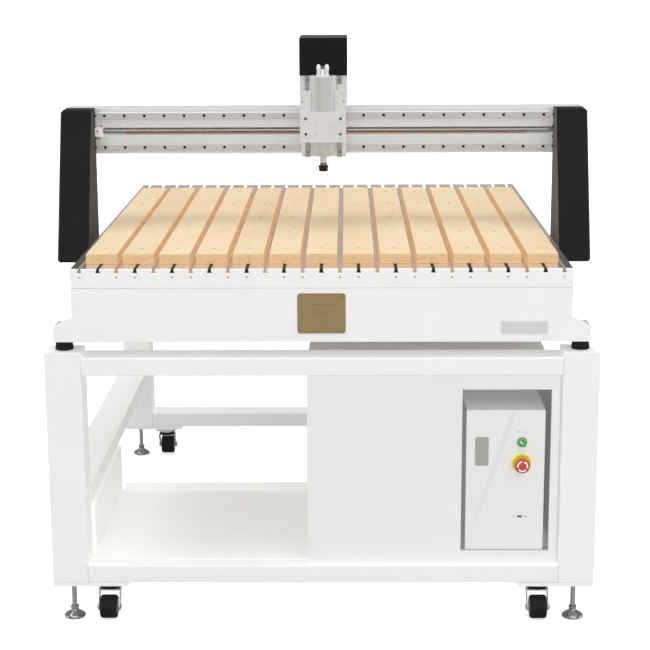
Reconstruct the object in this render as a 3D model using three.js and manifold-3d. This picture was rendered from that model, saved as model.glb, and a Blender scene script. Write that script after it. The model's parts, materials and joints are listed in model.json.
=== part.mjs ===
// Gantry-type CNC router on a wheeled welded stand.
// Millimetres. +X is the operator's right, +Y points from the operator to the back, +Z is up.
// The origin lies on the floor under the middle of the overall width and depth.
import * as THREE from 'three';
import { mergeVertices } from 'three/addons/utils/BufferGeometryUtils.js';
import Module from 'manifold-3d';

// ---------------------------------------------------------------- driving dimensions
const GAP = 0.3;                 // gap between neighbouring pieces
const MIDDLE_SHIFT = 1.75;       // all pieces move back this far, as the switches stand out in front

const TUBE = 100;                // square tube of the stand
const STAND_HALF = 755;          // half width over the legs
const LEG_BASE = 120;
const LEG_TOP = 780;
const SIDE_RAIL_Z = 318;         // underside of the side rails of the stand
const PAD_Z = 105;               // underside of the caster pads
const CASTER = { x: 605, y: 768 };
const MOUNT_HEIGHT = 30;         // rubber mounts between stand and bed

const BED_WIDTH = 1350;          // width of the clamping table
const BED_LENGTH = 1666;         // depth of the machine bed
const BED_BOTTOM = LEG_TOP + MOUNT_HEIGHT;
const BED_FOOT_HALF = 727;       // half width of the bed at its feet
const BED_SIDE = 660;            // outer face of a side beam, where the long rail sits
const FRONT_PLATE = 10;          // thickness of the apron and the end bar
const TABLE_TOP = 1010;          // clamping surface above the floor
const TABLE_BOTTOM = TABLE_TOP - 20;
const SLOT_PITCH = 50;

const Y_RAIL_Z = 940;
const Y_SCREW = { x: 645, z: 880 };
const COLUMN_INNER = 690;        // inner face of a column from the centre plane
const COLUMN_OUTER = COLUMN_INNER + 92;
const COLUMN_BOTTOM = 951;
const COLUMN_FRONT = 422;        // depth of the front foot of a column
const COLUMN_REAR = 650;         // depth of the rear face, against the cross beam

const BEAM_Z = 1312.5;           // centre height of the cross beam
const X_RAIL_OFFSET = 47.5;      // guide rails above and below the beam centre
const X_SCREW_DEPTH = 672;       // close behind the mouth of the beam groove
const SCREW_SEGMENTS = 16;
const SCREW_RADIUS = 8;          // long and cross screws
const Z_SCREW_RADIUS = 6;
const Z_SCREW_DEPTH = 590;
const Z_RAIL_X = 47.5;

const HEAD_HALF = 67.4;          // half width of the moving head
const SPINDLE_RADIUS = 40;
// Depths of the faces of the cross carriage and moving head, from back to front.
const HEAD = {
  plateRear: 619.5,
  plateFront: 604.5,
  moverRear: 576,
  moverFront: 561,
  axis: 516,
  cheek: 506,
  lip: 491,
  clamp: 470,
};

const RAIL_CLEARANCE = 0.5;      // around a guide rail in the blocks that ride on it
const SIDES = [['left', -1], ['right', 1]];
const ENDS = [['front', -1], ['rear', 1]];
const CORNERS = ENDS.flatMap(([endName, end]) => SIDES.map(([sideName, side]) => (
  { name: `${endName}_${sideName}`, side, end })));

// ---------------------------------------------------------------- positions and ranges
// Depths are measured back from the front face of the bed; these turn them into Y.
const depth = (distance) => distance - BED_LENGTH / 2;
const depths = (from, to) => [depth(from), depth(to)];
const around = (centre, half) => [centre - half, centre + half];
const inset = ([low, high], by) => [low + by, high - by];
// range mirrored to the side or end given by sign
const span = (sign, near, far) => (sign > 0 ? [near, far] : [-far, -near]);

const LEG_X = STAND_HALF - TUBE;         // inner face of a leg
const LEG_Y = BED_LENGTH / 2 - TUBE;
const FOOT = { x: STAND_HALF - TUBE / 2, y: BED_LENGTH / 2 - TUBE / 2 };
const SPINDLE_Y = depth(HEAD.axis);

// ---------------------------------------------------------------- solids
const wasm = await Module();
wasm.setup();

function toSolid(geometry) {
  const clean = geometry.clone();
  clean.deleteAttribute('normal');
  clean.deleteAttribute('uv');
  // snapping to a fine grid makes touching faces meet exactly
  const coords = clean.attributes.position.array;
  for (let i = 0; i < coords.length; i += 1) coords[i] = Math.round(coords[i] * 256) / 256;
  const merged = mergeVertices(clean, 1e-3);
  const index = merged.index.array;
  const triangles = [];
  for (let i = 0; i < index.length; i += 3) {
    const [a, b, c] = index.slice(i, i + 3);
    if (a !== b && b !== c && a !== c) triangles.push(a, b, c);
  }
  return new wasm.Manifold(new wasm.Mesh({
    numProp: 3,
    vertProperties: new Float32Array(merged.attributes.position.array),
    triVerts: new Uint32Array(triangles),
  }));
}

function toGeometry(solid) {
  const mesh = solid.getMesh();
  const stride = mesh.numProp;
  const count = mesh.vertProperties.length / stride;
  const positions = new Float32Array(count * 3);
  for (let i = 0; i < count; i += 1) {
    for (let k = 0; k < 3; k += 1) positions[3 * i + k] = mesh.vertProperties[stride * i + k];
  }
  const geometry = new THREE.BufferGeometry();
  geometry.setAttribute('position', new THREE.BufferAttribute(positions, 3));
  geometry.setIndex(new THREE.BufferAttribute(new Uint32Array(mesh.triVerts), 1));
  const flat = geometry.toNonIndexed();
  flat.computeVertexNormals();
  return flat;
}

const asSolid = (part) => (part.isBufferGeometry ? toSolid(part) : part);
const join = (...parts) => parts.map(asSolid).reduce((sum, part) => sum.add(part));
const cut = (body, ...tools) => tools.map(asSolid)
  .reduce((rest, tool) => rest.subtract(tool), asSolid(body));

// ---------------------------------------------------------------- basic shapes
// x, y and z are each a range [low, high]
function box(x, y, z) {
  const ranges = [x, y, z];
  const geometry = new THREE.BoxGeometry(...ranges.map(([low, high]) => high - low));
  return geometry.translate(...ranges.map(([low, high]) => (low + high) / 2));
}

// Round bar along an axis; a and b are the two coordinates across it, in X, Y, Z order.
// endRadius applies at the high end of the range.
function rod(axis, radius, [from, to], [a, b], segments = 24, endRadius = radius) {
  const geometry = new THREE.CylinderGeometry(endRadius, radius, to - from, segments);
  const middle = (from + to) / 2;
  if (axis === 'X') return geometry.rotateZ(-Math.PI / 2).translate(middle, a, b);
  if (axis === 'Y') return geometry.translate(a, middle, b);
  return geometry.rotateX(Math.PI / 2).translate(a, b, middle);
}

const toVectors = (points) => points.map(([a, b]) => new THREE.Vector2(a, b));

// part turned about a vertical axis, profile given as (radius, z)
function turned(points, x, y, segments) {
  const geometry = new THREE.LatheGeometry(toVectors(points), segments);
  return geometry.rotateX(Math.PI / 2).translate(x, y, 0);
}

function extrude(points, length, bevel = 0) {
  return new THREE.ExtrudeGeometry(new THREE.Shape(toVectors(points)), {
    depth: length - 2 * bevel,
    bevelEnabled: bevel > 0,
    bevelThickness: bevel,
    bevelSize: bevel,
    bevelOffset: -bevel,
    bevelSegments: 1,
    steps: 1,
  });
}

// profile given as (y, z), drawn out along X, with both ends chamfered by bevel
function alongX(points, [from, to], bevel = 0) {
  const geometry = extrude(points, to - from, bevel);
  return geometry.rotateX(Math.PI / 2).rotateZ(Math.PI / 2).translate(from + bevel, 0, 0);
}

// profile given as (x, z), drawn out along Y
function alongY(points, [from, to]) {
  return extrude(points, to - from).rotateX(Math.PI / 2).translate(0, to, 0);
}

// profile given as (x, y), drawn out along Z
function alongZ(points, [from, to]) {
  return extrude(points, to - from).translate(0, 0, from);
}

function roundedRect(x, z, radius) {
  const steps = 4;
  const [x0, x1] = inset(x, radius);
  const [z0, z1] = inset(z, radius);
  return [[x1, z1], [x0, z1], [x0, z0], [x1, z0]].flatMap(([cx, cz], corner) => (
    Array.from({ length: steps + 1 }, (_, i) => {
      const angle = ((90 * corner + (90 * i) / steps) * Math.PI) / 180;
      return [cx + radius * Math.cos(angle), cz + radius * Math.sin(angle)];
    })));
}

// ---------------------------------------------------------------- guide rail sections
// (rise away from the seat, offset across); grow widens the section on all sides
function railSection(height, width, grow = 0) {
  const half = width / 2 + grow;
  const waist = width / 2 - width * 0.13 + grow;
  const flank = [
    [-grow, half], [height * 0.34, half], [height * 0.48, waist], [height * 0.66, waist],
    [height * 0.8, half], [height - 1 + grow, half], [height + grow, half - 1],
  ];
  return [...flank.map(([rise, across]) => [rise, -across]), ...flank.reverse()];
}

const yRailSection = (side, grow) => railSection(17.5, 20, grow)
  .map(([rise, across]) => [side * (BED_SIDE + GAP + rise), Y_RAIL_Z + across]);
const xRailSection = (level, grow) => railSection(17.5, 20, grow)
  .map(([rise, across]) => [depth(COLUMN_REAR) - rise, BEAM_Z + level * X_RAIL_OFFSET + across]);
const zRailSection = (side, grow) => railSection(15, 15, grow)
  .map(([rise, across]) => [side * Z_RAIL_X + across, depth(HEAD.plateFront) - rise + 0.5]);

// ---------------------------------------------------------------- materials and group
const PAINT = {
  white: { color: 0xe9e9e7, roughness: 0.55, metalness: 0.0 },
  black: { color: 0x242425, roughness: 0.75, metalness: 0.0 },
  steel: { color: 0xb4b5b3, roughness: 0.35, metalness: 0.9 },
  zinc: { color: 0xc2c3c2, roughness: 0.3, metalness: 0.9 },
  alu: { color: 0xc9c9c6, roughness: 0.4, metalness: 0.6 },
  aluWhite: { color: 0xdadad8, roughness: 0.45, metalness: 0.3 },
  mdf: { color: 0xe8cda2, roughness: 0.85, metalness: 0.0 },
  rubber: { color: 0x18181a, roughness: 0.85, metalness: 0.0 },
  wheel: { color: 0x26262a, roughness: 0.6, metalness: 0.0 },
  brass: { color: 0xa08c5f, roughness: 0.35, metalness: 0.9 },
  grey: { color: 0xd6d5d4, roughness: 0.5, metalness: 0.2 },
  red: { color: 0xd4443a, roughness: 0.4, metalness: 0.0 },
  yellow: { color: 0xded848, roughness: 0.45, metalness: 0.0 },
  green: { color: 0x4fae58, roughness: 0.4, metalness: 0.0 },
};

const group = new THREE.Group();
group.name = 'cnc_router';

function put(name, shape, paint) {
  const geometry = shape.isBufferGeometry ? shape : toGeometry(shape);
  geometry.translate(0, MIDDLE_SHIFT, 0);
  const mesh = new THREE.Mesh(geometry, new THREE.MeshStandardMaterial(PAINT[paint]));
  mesh.name = name;
  group.add(mesh);
}

// ---------------------------------------------------------------- welded stand
function standFrame() {
  const legWall = 4;
  const setback = 0.5;           // rails and base plates sit this far behind the leg faces
  const railHeight = 50;
  const railSideWall = 6;
  const railSkin = 5;            // top and bottom wall of a rail
  const railOverlap = 2;         // rail ends run into the legs
  const hollowOverlap = 8;       // rail hollows break through into the legs
  const plateBottom = LEG_BASE - 12;
  const plateInner = 540;        // inner end of a base plate
  const padHalf = 38;
  const solids = [];
  const hollows = [];

  const addRail = (makeBox, bottom) => {
    const z = [bottom, bottom + railHeight];
    solids.push(makeBox(railOverlap, setback, z));
    hollows.push(makeBox(hollowOverlap, railSideWall, inset(z, railSkin)));
  };

  for (const [, side] of SIDES) {
    const legX = span(side, LEG_X, STAND_HALF);
    for (const [, end] of ENDS) {
      const legY = span(end, LEG_Y, LEG_Y + TUBE);
      solids.push(box(legX, legY, [LEG_BASE - 1, LEG_TOP]));
      const bore = inset([LEG_BASE, LEG_TOP], legWall);
      hollows.push(box(inset(legX, legWall), inset(legY, legWall), bore));
      const plateOuter = side * (STAND_HALF - setback);
      const plate = [
        [side * plateInner, LEG_BASE + 1], [side * plateInner, LEG_BASE],
        [side * (plateInner + 6), plateBottom], [plateOuter, plateBottom],
        [plateOuter, LEG_BASE + 1],
      ];
      solids.push(alongY(plate, inset(legY, setback)));
      const padX = around(side * CASTER.x, padHalf);
      solids.push(box(padX, around(end * CASTER.y, padHalf), [PAD_Z, plateBottom + 1]));
      hollows.push(rod('Z', 7.8, [95, LEG_BASE + 10], [side * FOOT.x, end * FOOT.y], 16));
    }
    addRail((overlap, by, z) => box(inset(legX, by), around(0, LEG_Y + overlap), z), SIDE_RAIL_Z);
  }
  for (const [, end] of ENDS) {
    const legY = span(end, LEG_Y, LEG_Y + TUBE);
    for (const bottom of [LEG_BASE, 715]) {
      addRail((overlap, by, z) => box(around(0, LEG_X + overlap), inset(legY, by), z), bottom);
    }
  }
  put('stand_frame', cut(join(...solids), ...hollows), 'white');
}

// folded sheet tray hung under the side rails
function shelfTray() {
  const sheet = 2.5;
  const half = 648;
  const rear = 667;
  const bottom = 170.3;
  const top = SIDE_RAIL_Z - GAP;
  const sideDepths = depths(103, 664);
  put('shelf_tray', join(
    box(around(0, half), depths(50, rear), [bottom, bottom + sheet]),
    box(around(0, half), depths(100.3, rear), [168.3, 170.9]),
    box(around(0, 640), depths(rear - sheet, rear), [171, 195]),
    ...SIDES.flatMap(([, side]) => [
      box(span(side, half - sheet, half), sideDepths, [171, top]),
      box(span(side, 646, 700), sideDepths, [top - sheet, top]),
    ]),
  ), 'white');
}

// ---------------------------------------------------------------- cabinet
const CABINET_SHEET = 2;
const LEDGE_TOP = 207.5;         // ledge that carries the control box

function cabinetFrontPanel() {
  const x = [-42, 651];
  const z = [170.5, 714.5];
  const openingX = [384, 628];
  const openingZ = [205.5, 671];
  const pan = cut(
    box(x, depths(20, 42), z),
    box(inset(x, CABINET_SHEET), depths(22, 60), inset(z, CABINET_SHEET)),
  );
  const collar = box(
    inset(openingX, -CABINET_SHEET), depths(21, 34), inset(openingZ, -CABINET_SHEET),
  );
  const opening = box(openingX, depths(10, 50), openingZ);
  put('cabinet_front_panel', cut(join(pan, collar), opening), 'white');
}

function cabinetShell() {
  const x = [-42, 641];
  const z = [173.2, 714.6];
  const ledgeLeft = 392;
  const ledgeDepths = depths(60, 345);
  put('cabinet_shell', join(
    cut(
      box(x, depths(44, 640), z),
      box(inset(x, CABINET_SHEET), depths(30, 638), inset(z, CABINET_SHEET)),
    ),
    box([ledgeLeft, 640], ledgeDepths, [LEDGE_TOP - CABINET_SHEET, LEDGE_TOP]),
    box([ledgeLeft, ledgeLeft + CABINET_SHEET], ledgeDepths, [174, 206]),
  ), 'grey');
}

// ---------------------------------------------------------------- control box and switches
const ESTOP = [549.5, 458.6];    // x, z
const SELECTOR = [550, 519];     // x, z
const ESTOP_BORE = 11.6;         // radius

function controlBox() {
  const x = [397, 613];
  const y = depths(30, 330);
  const z = [LEDGE_TOP + GAP, 610];
  const housing = cut(
    box(x, y, z),
    box(inset(x, CABINET_SHEET), inset(y, CABINET_SHEET), inset(z, CABINET_SHEET)),
  );
  put('control_box', cut(
    join(housing, rod('Y', 14.5, depths(27, 31), SELECTOR)),
    rod('Y', ESTOP_BORE, depths(20, 40), ESTOP),
    box([540.5, 554.5], depths(20, 40), [300.5, 306.5]),      // small slot in the front
    box([440, 570], depths(320, 340), [260, 520]),            // window in the rear
  ), 'white');
}

function emergencyStop() {
  put('estop_collar', cut(
    rod('Y', 27, depths(22, 30 - GAP), ESTOP, 32),
    rod('Y', ESTOP_BORE, depths(10, 40), ESTOP),
  ), 'yellow');
  const capRadius = 21;
  put('estop_button', join(
    rod('Y', 10, depths(-1, 25), ESTOP, 20),
    rod('Y', 17, depths(-4, 0), ESTOP, 28, capRadius),
    rod('Y', capRadius, depths(-0.5, 8), ESTOP, 28),
    rod('Y', capRadius, depths(8, 14), ESTOP, 28, 13),
  ), 'red');
}

function selectorKnob() {
  // corners of the slanted grip, (x, z) from the knob centre
  const grip = [[6.1, -8.8], [8.8, -6.1], [-6.1, 8.8], [-8.8, 6.1]];
  const [centreX, centreZ] = SELECTOR;
  put('selector_knob', join(
    rod('Y', 12.2, depths(15, 27 - GAP), SELECTOR),
    alongY(grip.map(([x, z]) => [centreX + x, centreZ + z]), depths(8, 16)),
  ), 'green');
}

// ---------------------------------------------------------------- casters, feet and mounts
const AXLE_TRAIL = 28;           // wheel axle trails towards the outside
const AXLE_Z = 34.2;

function casterFork({ name, side, end }) {
  const x = side * CASTER.x;
  const y = end * CASTER.y;
  const axle = [y + end * AXLE_TRAIL, AXLE_Z];
  const inward = 19;             // reach of the fork top from the pivot
  const outward = 25;
  // (distance outwards from the pivot, z)
  const cheek = [[-inward, 94], [outward, 94], [39, 42], [39, 29], [34, 23], [22, 23], [16, 32]]
    .map(([out, z]) => [y + end * out, z]);
  put(`caster_fork_${name}`, join(
    rod('Z', 28, [93, PAD_Z - GAP], [x, y], 20),
    box(around(x, 30.5), span(end, CASTER.y - inward, CASTER.y + outward), [90, 94]),
    alongX(cheek, around(x - 29, 1.5)),
    alongX(cheek, around(x + 29, 1.5)),
    rod('X', 5, around(x, 33), axle, 12),
    rod('X', 8, [x - 34, x - 30], axle, 6),
    rod('X', 8, [x + 30, x + 34], axle, 6),
  ), 'zinc');
}

function casterWheel({ name, side, end }) {
  const half = 23.5;             // half width of the tread
  const bore = 5.4;
  const shoulder = 29.2;
  const radius = 33.2;
  // (radius, distance along the axle)
  const profile = [
    [bore, -half], [shoulder, -half], [radius, -half + 5], [radius, half - 5],
    [shoulder, half], [bore, half], [bore, -half],
  ];
  const geometry = new THREE.LatheGeometry(toVectors(profile), 24);
  geometry.rotateZ(-Math.PI / 2);
  geometry.translate(side * CASTER.x, end * (CASTER.y + AXLE_TRAIL), AXLE_Z);
  put(`caster_wheel_${name}`, toSolid(geometry), 'wheel');
}

function levelingFoot({ name, side, end }) {
  const centre = [side * FOOT.x, end * FOOT.y];
  // (radius, z)
  const pad = [[0, 0], [29, 0], [30, 5], [26, 10], [14, 17.5], [9, 20], [9, 26], [0, 26]];
  put(`leveling_foot_${name}`, join(
    turned(pad, ...centre, 20),
    rod('Z', 12.5, [25, 34], centre, 6),     // hexagon
    rod('Z', 7, [24, 175], centre, 12),      // stem
  ), 'zinc');
}

function rubberMount({ name, side, end }) {
  const radius = 25;
  const waist = 23.8;
  const bottom = LEG_TOP + GAP;
  const top = BED_BOTTOM - GAP;
  put(`rubber_mount_${name}`, turned([
    [0, bottom], [radius, bottom], [waist, LEG_TOP + MOUNT_HEIGHT / 2], [radius, top], [0, top],
  ], side * FOOT.x, end * FOOT.y, 20), 'rubber');
}

// ---------------------------------------------------------------- bed
const BED_FRONT = FRONT_PLATE + GAP;

function bedFrame() {
  const rear = 1656;
  const top = TABLE_BOTTOM - GAP;
  const footLength = 82.7;
  const footZ = [BED_BOTTOM, BED_BOTTOM + 40];
  const solids = [];
  const hollows = [];
  for (const [, side] of SIDES) {
    solids.push(box(span(side, 600, BED_SIDE), depths(BED_FRONT, rear), [BED_BOTTOM + 39, top]));
    // long pocket open to the outside, for the screw
    hollows.push(box(span(side, 625, BED_SIDE + 5), depths(44, 1606), [856, 904]));
  }
  for (const footDepths of [depths(BED_FRONT, BED_FRONT + footLength), depths(1573, rear)]) {
    solids.push(box(around(0, BED_FOOT_HALF), footDepths, footZ));
  }
  for (const front of [30, 320, 610, 900, 1190, 1596]) {
    solids.push(box(around(0, 610), depths(front, front + 40), [900, top]));
  }
  for (const [, side] of SIDES) {
    for (const range of [depths(18, 60), depths(1600, 1670)]) {
      hollows.push(rod('Y', 8.5, range, [side * Y_SCREW.x, Y_SCREW.z], SCREW_SEGMENTS));
    }
  }
  put('bed_frame', cut(join(...solids), ...hollows), 'alu');
}

// slotted section of the table, walked from the right edge to the left along the top
function slottedSection(bottom) {
  const half = BED_WIDTH / 2;
  const slotCount = 27;
  // (x from the slot middle, z from the table top)
  const slot = [[4.6, 0], [4.6, -4], [7.6, -12], [-7.6, -12], [-4.6, -4], [-4.6, 0]];
  const edge = [];
  for (let i = slotCount - 1; i >= 0; i -= 1) {
    const middle = (i - (slotCount - 1) / 2) * SLOT_PITCH;
    edge.push(...slot.map(([x, z]) => [middle + x, TABLE_TOP + z]));
  }
  return [[-half, bottom], [half, bottom], [half, TABLE_TOP], ...edge, [-half, TABLE_TOP]];
}

function tableAndFront() {
  const plateDepths = depths(0, FRONT_PLATE);
  const apronTop = 957.6;
  put('t_slot_table', alongY(slottedSection(TABLE_BOTTOM), depths(BED_FRONT, BED_LENGTH)), 'alu');
  put('front_end_bar', alongY(slottedSection(apronTop + 1), plateDepths), 'white');

  const half = BED_WIDTH / 2;
  put('front_apron', alongY([
    [-BED_FOOT_HALF, BED_BOTTOM], [BED_FOOT_HALF, BED_BOTTOM], [BED_FOOT_HALF, 850.2],
    [half, 881], [half, apronTop], [-half, apronTop], [-half, 881], [-BED_FOOT_HALF, 850.2],
  ], plateDepths), 'white');
  put('emblem_plate', alongY(roundedRect([-65, 65], [833.5, 944], 8), depths(-2.3, -GAP)), 'brass');
  put('name_plate', alongY(
    roundedRect([482, 610.5], [829.5, 867.5], 6), depths(-1.5, -GAP),
  ), 'grey');
}

// sacrificial board strips with blind holes, one on every second slot pitch
function mdfStrips() {
  const count = 13;
  const width = 84;
  const length = 1305;
  const front = depth(77);
  const top = TABLE_TOP + 28;
  const holes = Array.from({ length: 5 }, (_, i) => (
    rod('Z', 7, [top - 9, top + 5], [0, front + 91 + 281 * i], 8)));
  const board = box(around(0, width / 2), [front, front + length], [TABLE_TOP + GAP, top]);
  const strip = toGeometry(cut(board, ...holes));
  for (let i = 0; i < count; i += 1) {
    const geometry = strip.clone().translate((i - (count - 1) / 2) * 2 * SLOT_PITCH, 0, 0);
    put(`mdf_strip_${String(i + 1).padStart(2, '0')}`, geometry, 'mdf');
  }
}

// rails and screws on the bed sides
function longAxis() {
  for (const [name, side] of SIDES) {
    put(`y_rail_${name}`, alongY(yRailSection(side), depths(15, 1650)), 'steel');
    const centre = [side * Y_SCREW.x, Y_SCREW.z];
    const screw = rod('Y', SCREW_RADIUS, depths(22, 1650), centre, SCREW_SEGMENTS);
    put(`y_screw_${name}`, screw, 'steel');
  }
}

// ---------------------------------------------------------------- gantry
function column(name, side) {
  const top = 1383;
  const bodyDepths = depths(COLUMN_FRONT, COLUMN_REAR);
  const profile = [
    [depth(COLUMN_FRONT), COLUMN_BOTTOM], [depth(COLUMN_REAR), COLUMN_BOTTOM],
    [depth(COLUMN_REAR), top], [depth(574), top],
  ];
  // drawn too long on the inside, then trimmed, so that only the outer edges are chamfered
  const body = toSolid(alongX(profile, span(side, COLUMN_INNER - 20, COLUMN_OUTER), 7))
    .intersect(toSolid(box(span(side, COLUMN_INNER, COLUMN_OUTER), depths(300, 800), [900, 1500])));
  const flangeX = span(side, COLUMN_INNER, COLUMN_INNER + 20);
  const flange = box(flangeX, bodyDepths, [855, COLUMN_BOTTOM + 6]);
  const blockX = span(side, BED_SIDE + 5, COLUMN_INNER + 1);
  const railBlocks = [432, 562.5].map((front) => (
    box(blockX, depths(front, front + 77.5), around(Y_RAIL_Z, 22))));
  const screwX = span(side, 629, COLUMN_INNER + 1);
  const screwBlock = box(screwX, depths(515, 556), around(Y_SCREW.z, 18));
  put(`column_${name}`, cut(
    join(body, flange, ...railBlocks, screwBlock),
    alongY(yRailSection(side, RAIL_CLEARANCE), depths(400, 700)),
    rod('Y', 8.4, depths(500, 570), [side * Y_SCREW.x, Y_SCREW.z], SCREW_SEGMENTS),
  ), 'black');
}

function gantryBeam() {
  const [bottom, top] = around(BEAM_Z, 68);
  const front = depth(COLUMN_REAR + GAP);
  const rear = depth(760);
  const chamfer = 4;             // on the rear edges
  const groove = depths(662, 702);
  const [grooveFront, grooveRear] = groove;
  const [mouthLow, mouthHigh] = around(BEAM_Z, 11);
  const [grooveLow, grooveHigh] = around(BEAM_Z, 22);
  const profile = [
    [front, bottom], [rear - chamfer, bottom], [rear, bottom + chamfer],
    [rear, top - chamfer], [rear - chamfer, top], [front, top],
    [front, mouthHigh], [grooveFront, mouthHigh], [grooveFront, grooveHigh],
    [grooveRear, grooveHigh], [grooveRear, grooveLow], [grooveFront, grooveLow],
    [grooveFront, mouthLow], [front, mouthLow],
  ];
  const chamber = (y, z) => box(around(0, COLUMN_OUTER + 5), y, z);
  put('gantry_beam', cut(
    join(
      alongX(profile, around(0, COLUMN_OUTER)),
      ...SIDES.map(([, side]) => box(span(side, 705, 730), inset(groove, -2), around(BEAM_Z, 24))),
    ),
    chamber(depths(660, 702), [bottom + 8, BEAM_Z - 30]),
    chamber(depths(660, 702), [BEAM_Z + 30, top - 8]),
    chamber(depths(710, 752), [bottom + 8, top - 8]),
    ...SIDES.map(([, side]) => (
      rod('X', 8.5, span(side, 700, 735), [depth(X_SCREW_DEPTH), BEAM_Z], SCREW_SEGMENTS))),
  ), 'aluWhite');
}

function crossAxis() {
  for (const [name, level] of [['lower', -1], ['upper', 1]]) {
    put(`x_rail_${name}`, alongX(xRailSection(level), around(0, 680)), 'steel');
  }
  const centre = [depth(X_SCREW_DEPTH), BEAM_Z];
  put('x_screw', rod('X', SCREW_RADIUS, around(0, 745), centre, SCREW_SEGMENTS), 'steel');
}

// ---------------------------------------------------------------- cross carriage
const COVER_HALF = 71;
const Z_SCREW_BORE = 6.4;        // radius

function zBasePlate() {
  const bottom = 1239;
  const step = 1395;             // the plate widens above this height
  const neck = 1481;             // and narrows to fit inside the cover
  const top = 1580;
  const topHalf = 68.6;
  // right-hand edge (x, z), from the bottom up
  const edge = [
    [HEAD_HALF, bottom], [HEAD_HALF, step], [COVER_HALF, step], [COVER_HALF, neck],
    [topHalf, neck], [topHalf, top],
  ];
  const mirrored = edge.map(([x, z]) => [-x, z]).reverse();
  const outline = [...edge, ...mirrored];
  const solids = [alongY(outline, depths(HEAD.plateFront, HEAD.plateRear))];
  const tools = [];
  for (const sign of [-1, 1]) {
    const railZ = BEAM_Z + sign * X_RAIL_OFFSET;
    for (const x of [-66, 4]) {
      solids.push(box([x, x + 62], depths(HEAD.plateRear - 1, 645.4), around(railZ, 22)));
    }
    tools.push(alongX(xRailSection(sign, RAIL_CLEARANCE), around(0, 90)));
    solids.push(alongZ(zRailSection(sign), [bottom, 1480]));
  }
  solids.push(
    // arm through the mouth of the beam groove, and the block on the cross screw
    box(around(0, 20), depths(HEAD.plateRear - 1, 668), around(BEAM_Z, 8)),
    box(around(0, 24), depths(662.6, 690), around(BEAM_Z, 16.5)),
    // lower and upper brackets around the upright screw
    box(around(0, 20), depths(580, HEAD.plateFront + 1), [1241, 1256]),
    box(around(0, 24), depths(581, HEAD.plateFront + 1), [1486, 1502]),
  );
  tools.push(rod('X', 8.4, around(0, 40), [depth(X_SCREW_DEPTH), BEAM_Z], SCREW_SEGMENTS));
  for (const range of [[1230, 1262], [1480, 1510]]) {
    tools.push(rod('Z', Z_SCREW_BORE, range, [0, depth(Z_SCREW_DEPTH)], SCREW_SEGMENTS));
  }
  put('z_base_plate', cut(join(...solids), ...tools), 'aluWhite');
}

// cover open at the bottom
function zMotorCover() {
  const wall = 2;
  const y = depths(578.5, 765);
  const top = 1592;
  put('z_motor_cover', cut(
    box(around(0, COVER_HALF), y, [1482, top]),
    box(around(0, COVER_HALF - wall), inset(y, wall), [1470, top - wall]),
  ), 'black');
}

function zScrew() {
  const centre = [0, depth(Z_SCREW_DEPTH)];
  put('z_screw', rod('Z', Z_SCREW_RADIUS, [1243, 1535], centre, SCREW_SEGMENTS), 'steel');
}

// ---------------------------------------------------------------- moving head with spindle
const CLAMP_BOTTOM = 1296;
const spindleBore = (range) => rod('Z', SPINDLE_RADIUS + 0.4, range, [0, SPINDLE_Y], 40);

function zPlate() {
  const top = 1438;
  const cheekInner = 34;
  const blockFront = HEAD.moverRear - 1;
  const solids = [
    box(around(0, HEAD_HALF), depths(HEAD.moverFront, HEAD.moverRear), [1290, top]),
  ];
  for (const [, side] of SIDES) {
    const cheekX = span(side, cheekInner, HEAD_HALF);
    solids.push(
      box(cheekX, depths(HEAD.cheek - 1, HEAD.moverFront + 1), [CLAMP_BOTTOM, top]),
      box(cheekX, depths(HEAD.lip, HEAD.cheek), [CLAMP_BOTTOM, 1444]),
    );
    for (const z of [1322, 1382]) {
      solids.push(box(span(side, 30.5, 64.5), depths(blockFront, 600), [z, z + 56]));
    }
  }
  solids.push(box(around(0, 18), depths(blockFront, 602.5), [1345, 1385]));
  put('z_plate', cut(
    join(...solids),
    spindleBore([1280, 1460]),
    rod('Z', Z_SCREW_BORE, [1330, 1400], [0, depth(Z_SCREW_DEPTH)], SCREW_SEGMENTS),
    ...SIDES.map(([, side]) => alongZ(zRailSection(side, RAIL_CLEARANCE), [1300, 1450])),
  ), 'aluWhite');
}

function spindleClamp() {
  const holes = [-50.5, 50.5].flatMap((x) => (
    [1320, 1365].map((z) => rod('Y', 4.6, depths(460, 478), [x, z], 12))));
  put('spindle_clamp', cut(
    box(around(0, HEAD_HALF), depths(HEAD.clamp, HEAD.lip - GAP), [CLAMP_BOTTOM, 1384.4]),
    spindleBore([1280, 1400]),
    ...holes,
  ), 'aluWhite');
}

function spindle() {
  // all profiles are (radius, z)
  const body = [
    [0, 1252.5], [24, 1252.5], [25, 1253.5], [25, 1261.5], [33, 1261.5], [33, 1300],
    [SPINDLE_RADIUS, 1300], [SPINDLE_RADIUS, 1484], [38, 1486], [0, 1486],
  ];
  const tallStub = [[0, 1485], [6.6, 1485], [6.6, 1512], [5.4, 1516.5], [0, 1519]];
  const shortStub = [[0, 1485], [6.2, 1485], [6.2, 1502], [0, 1507]];
  const nose = [
    [0, 1207], [13.2, 1207], [14, 1219.5], [15.4, 1221.5], [15.4, 1224],
    [10, 1227], [10, 1252.2], [0, 1252.2],
  ];
  put('spindle_body', join(
    turned(body, 0, SPINDLE_Y, 40),
    turned(tallStub, -12.6, SPINDLE_Y + 4, 12),
    turned(tallStub, 11.2, SPINDLE_Y + 4, 12),
    turned(shortStub, -0.8, SPINDLE_Y - 16, 12),
  ), 'alu');
  put('spindle_nose', turned(nose, 0, SPINDLE_Y, 24), 'steel');
}

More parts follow.
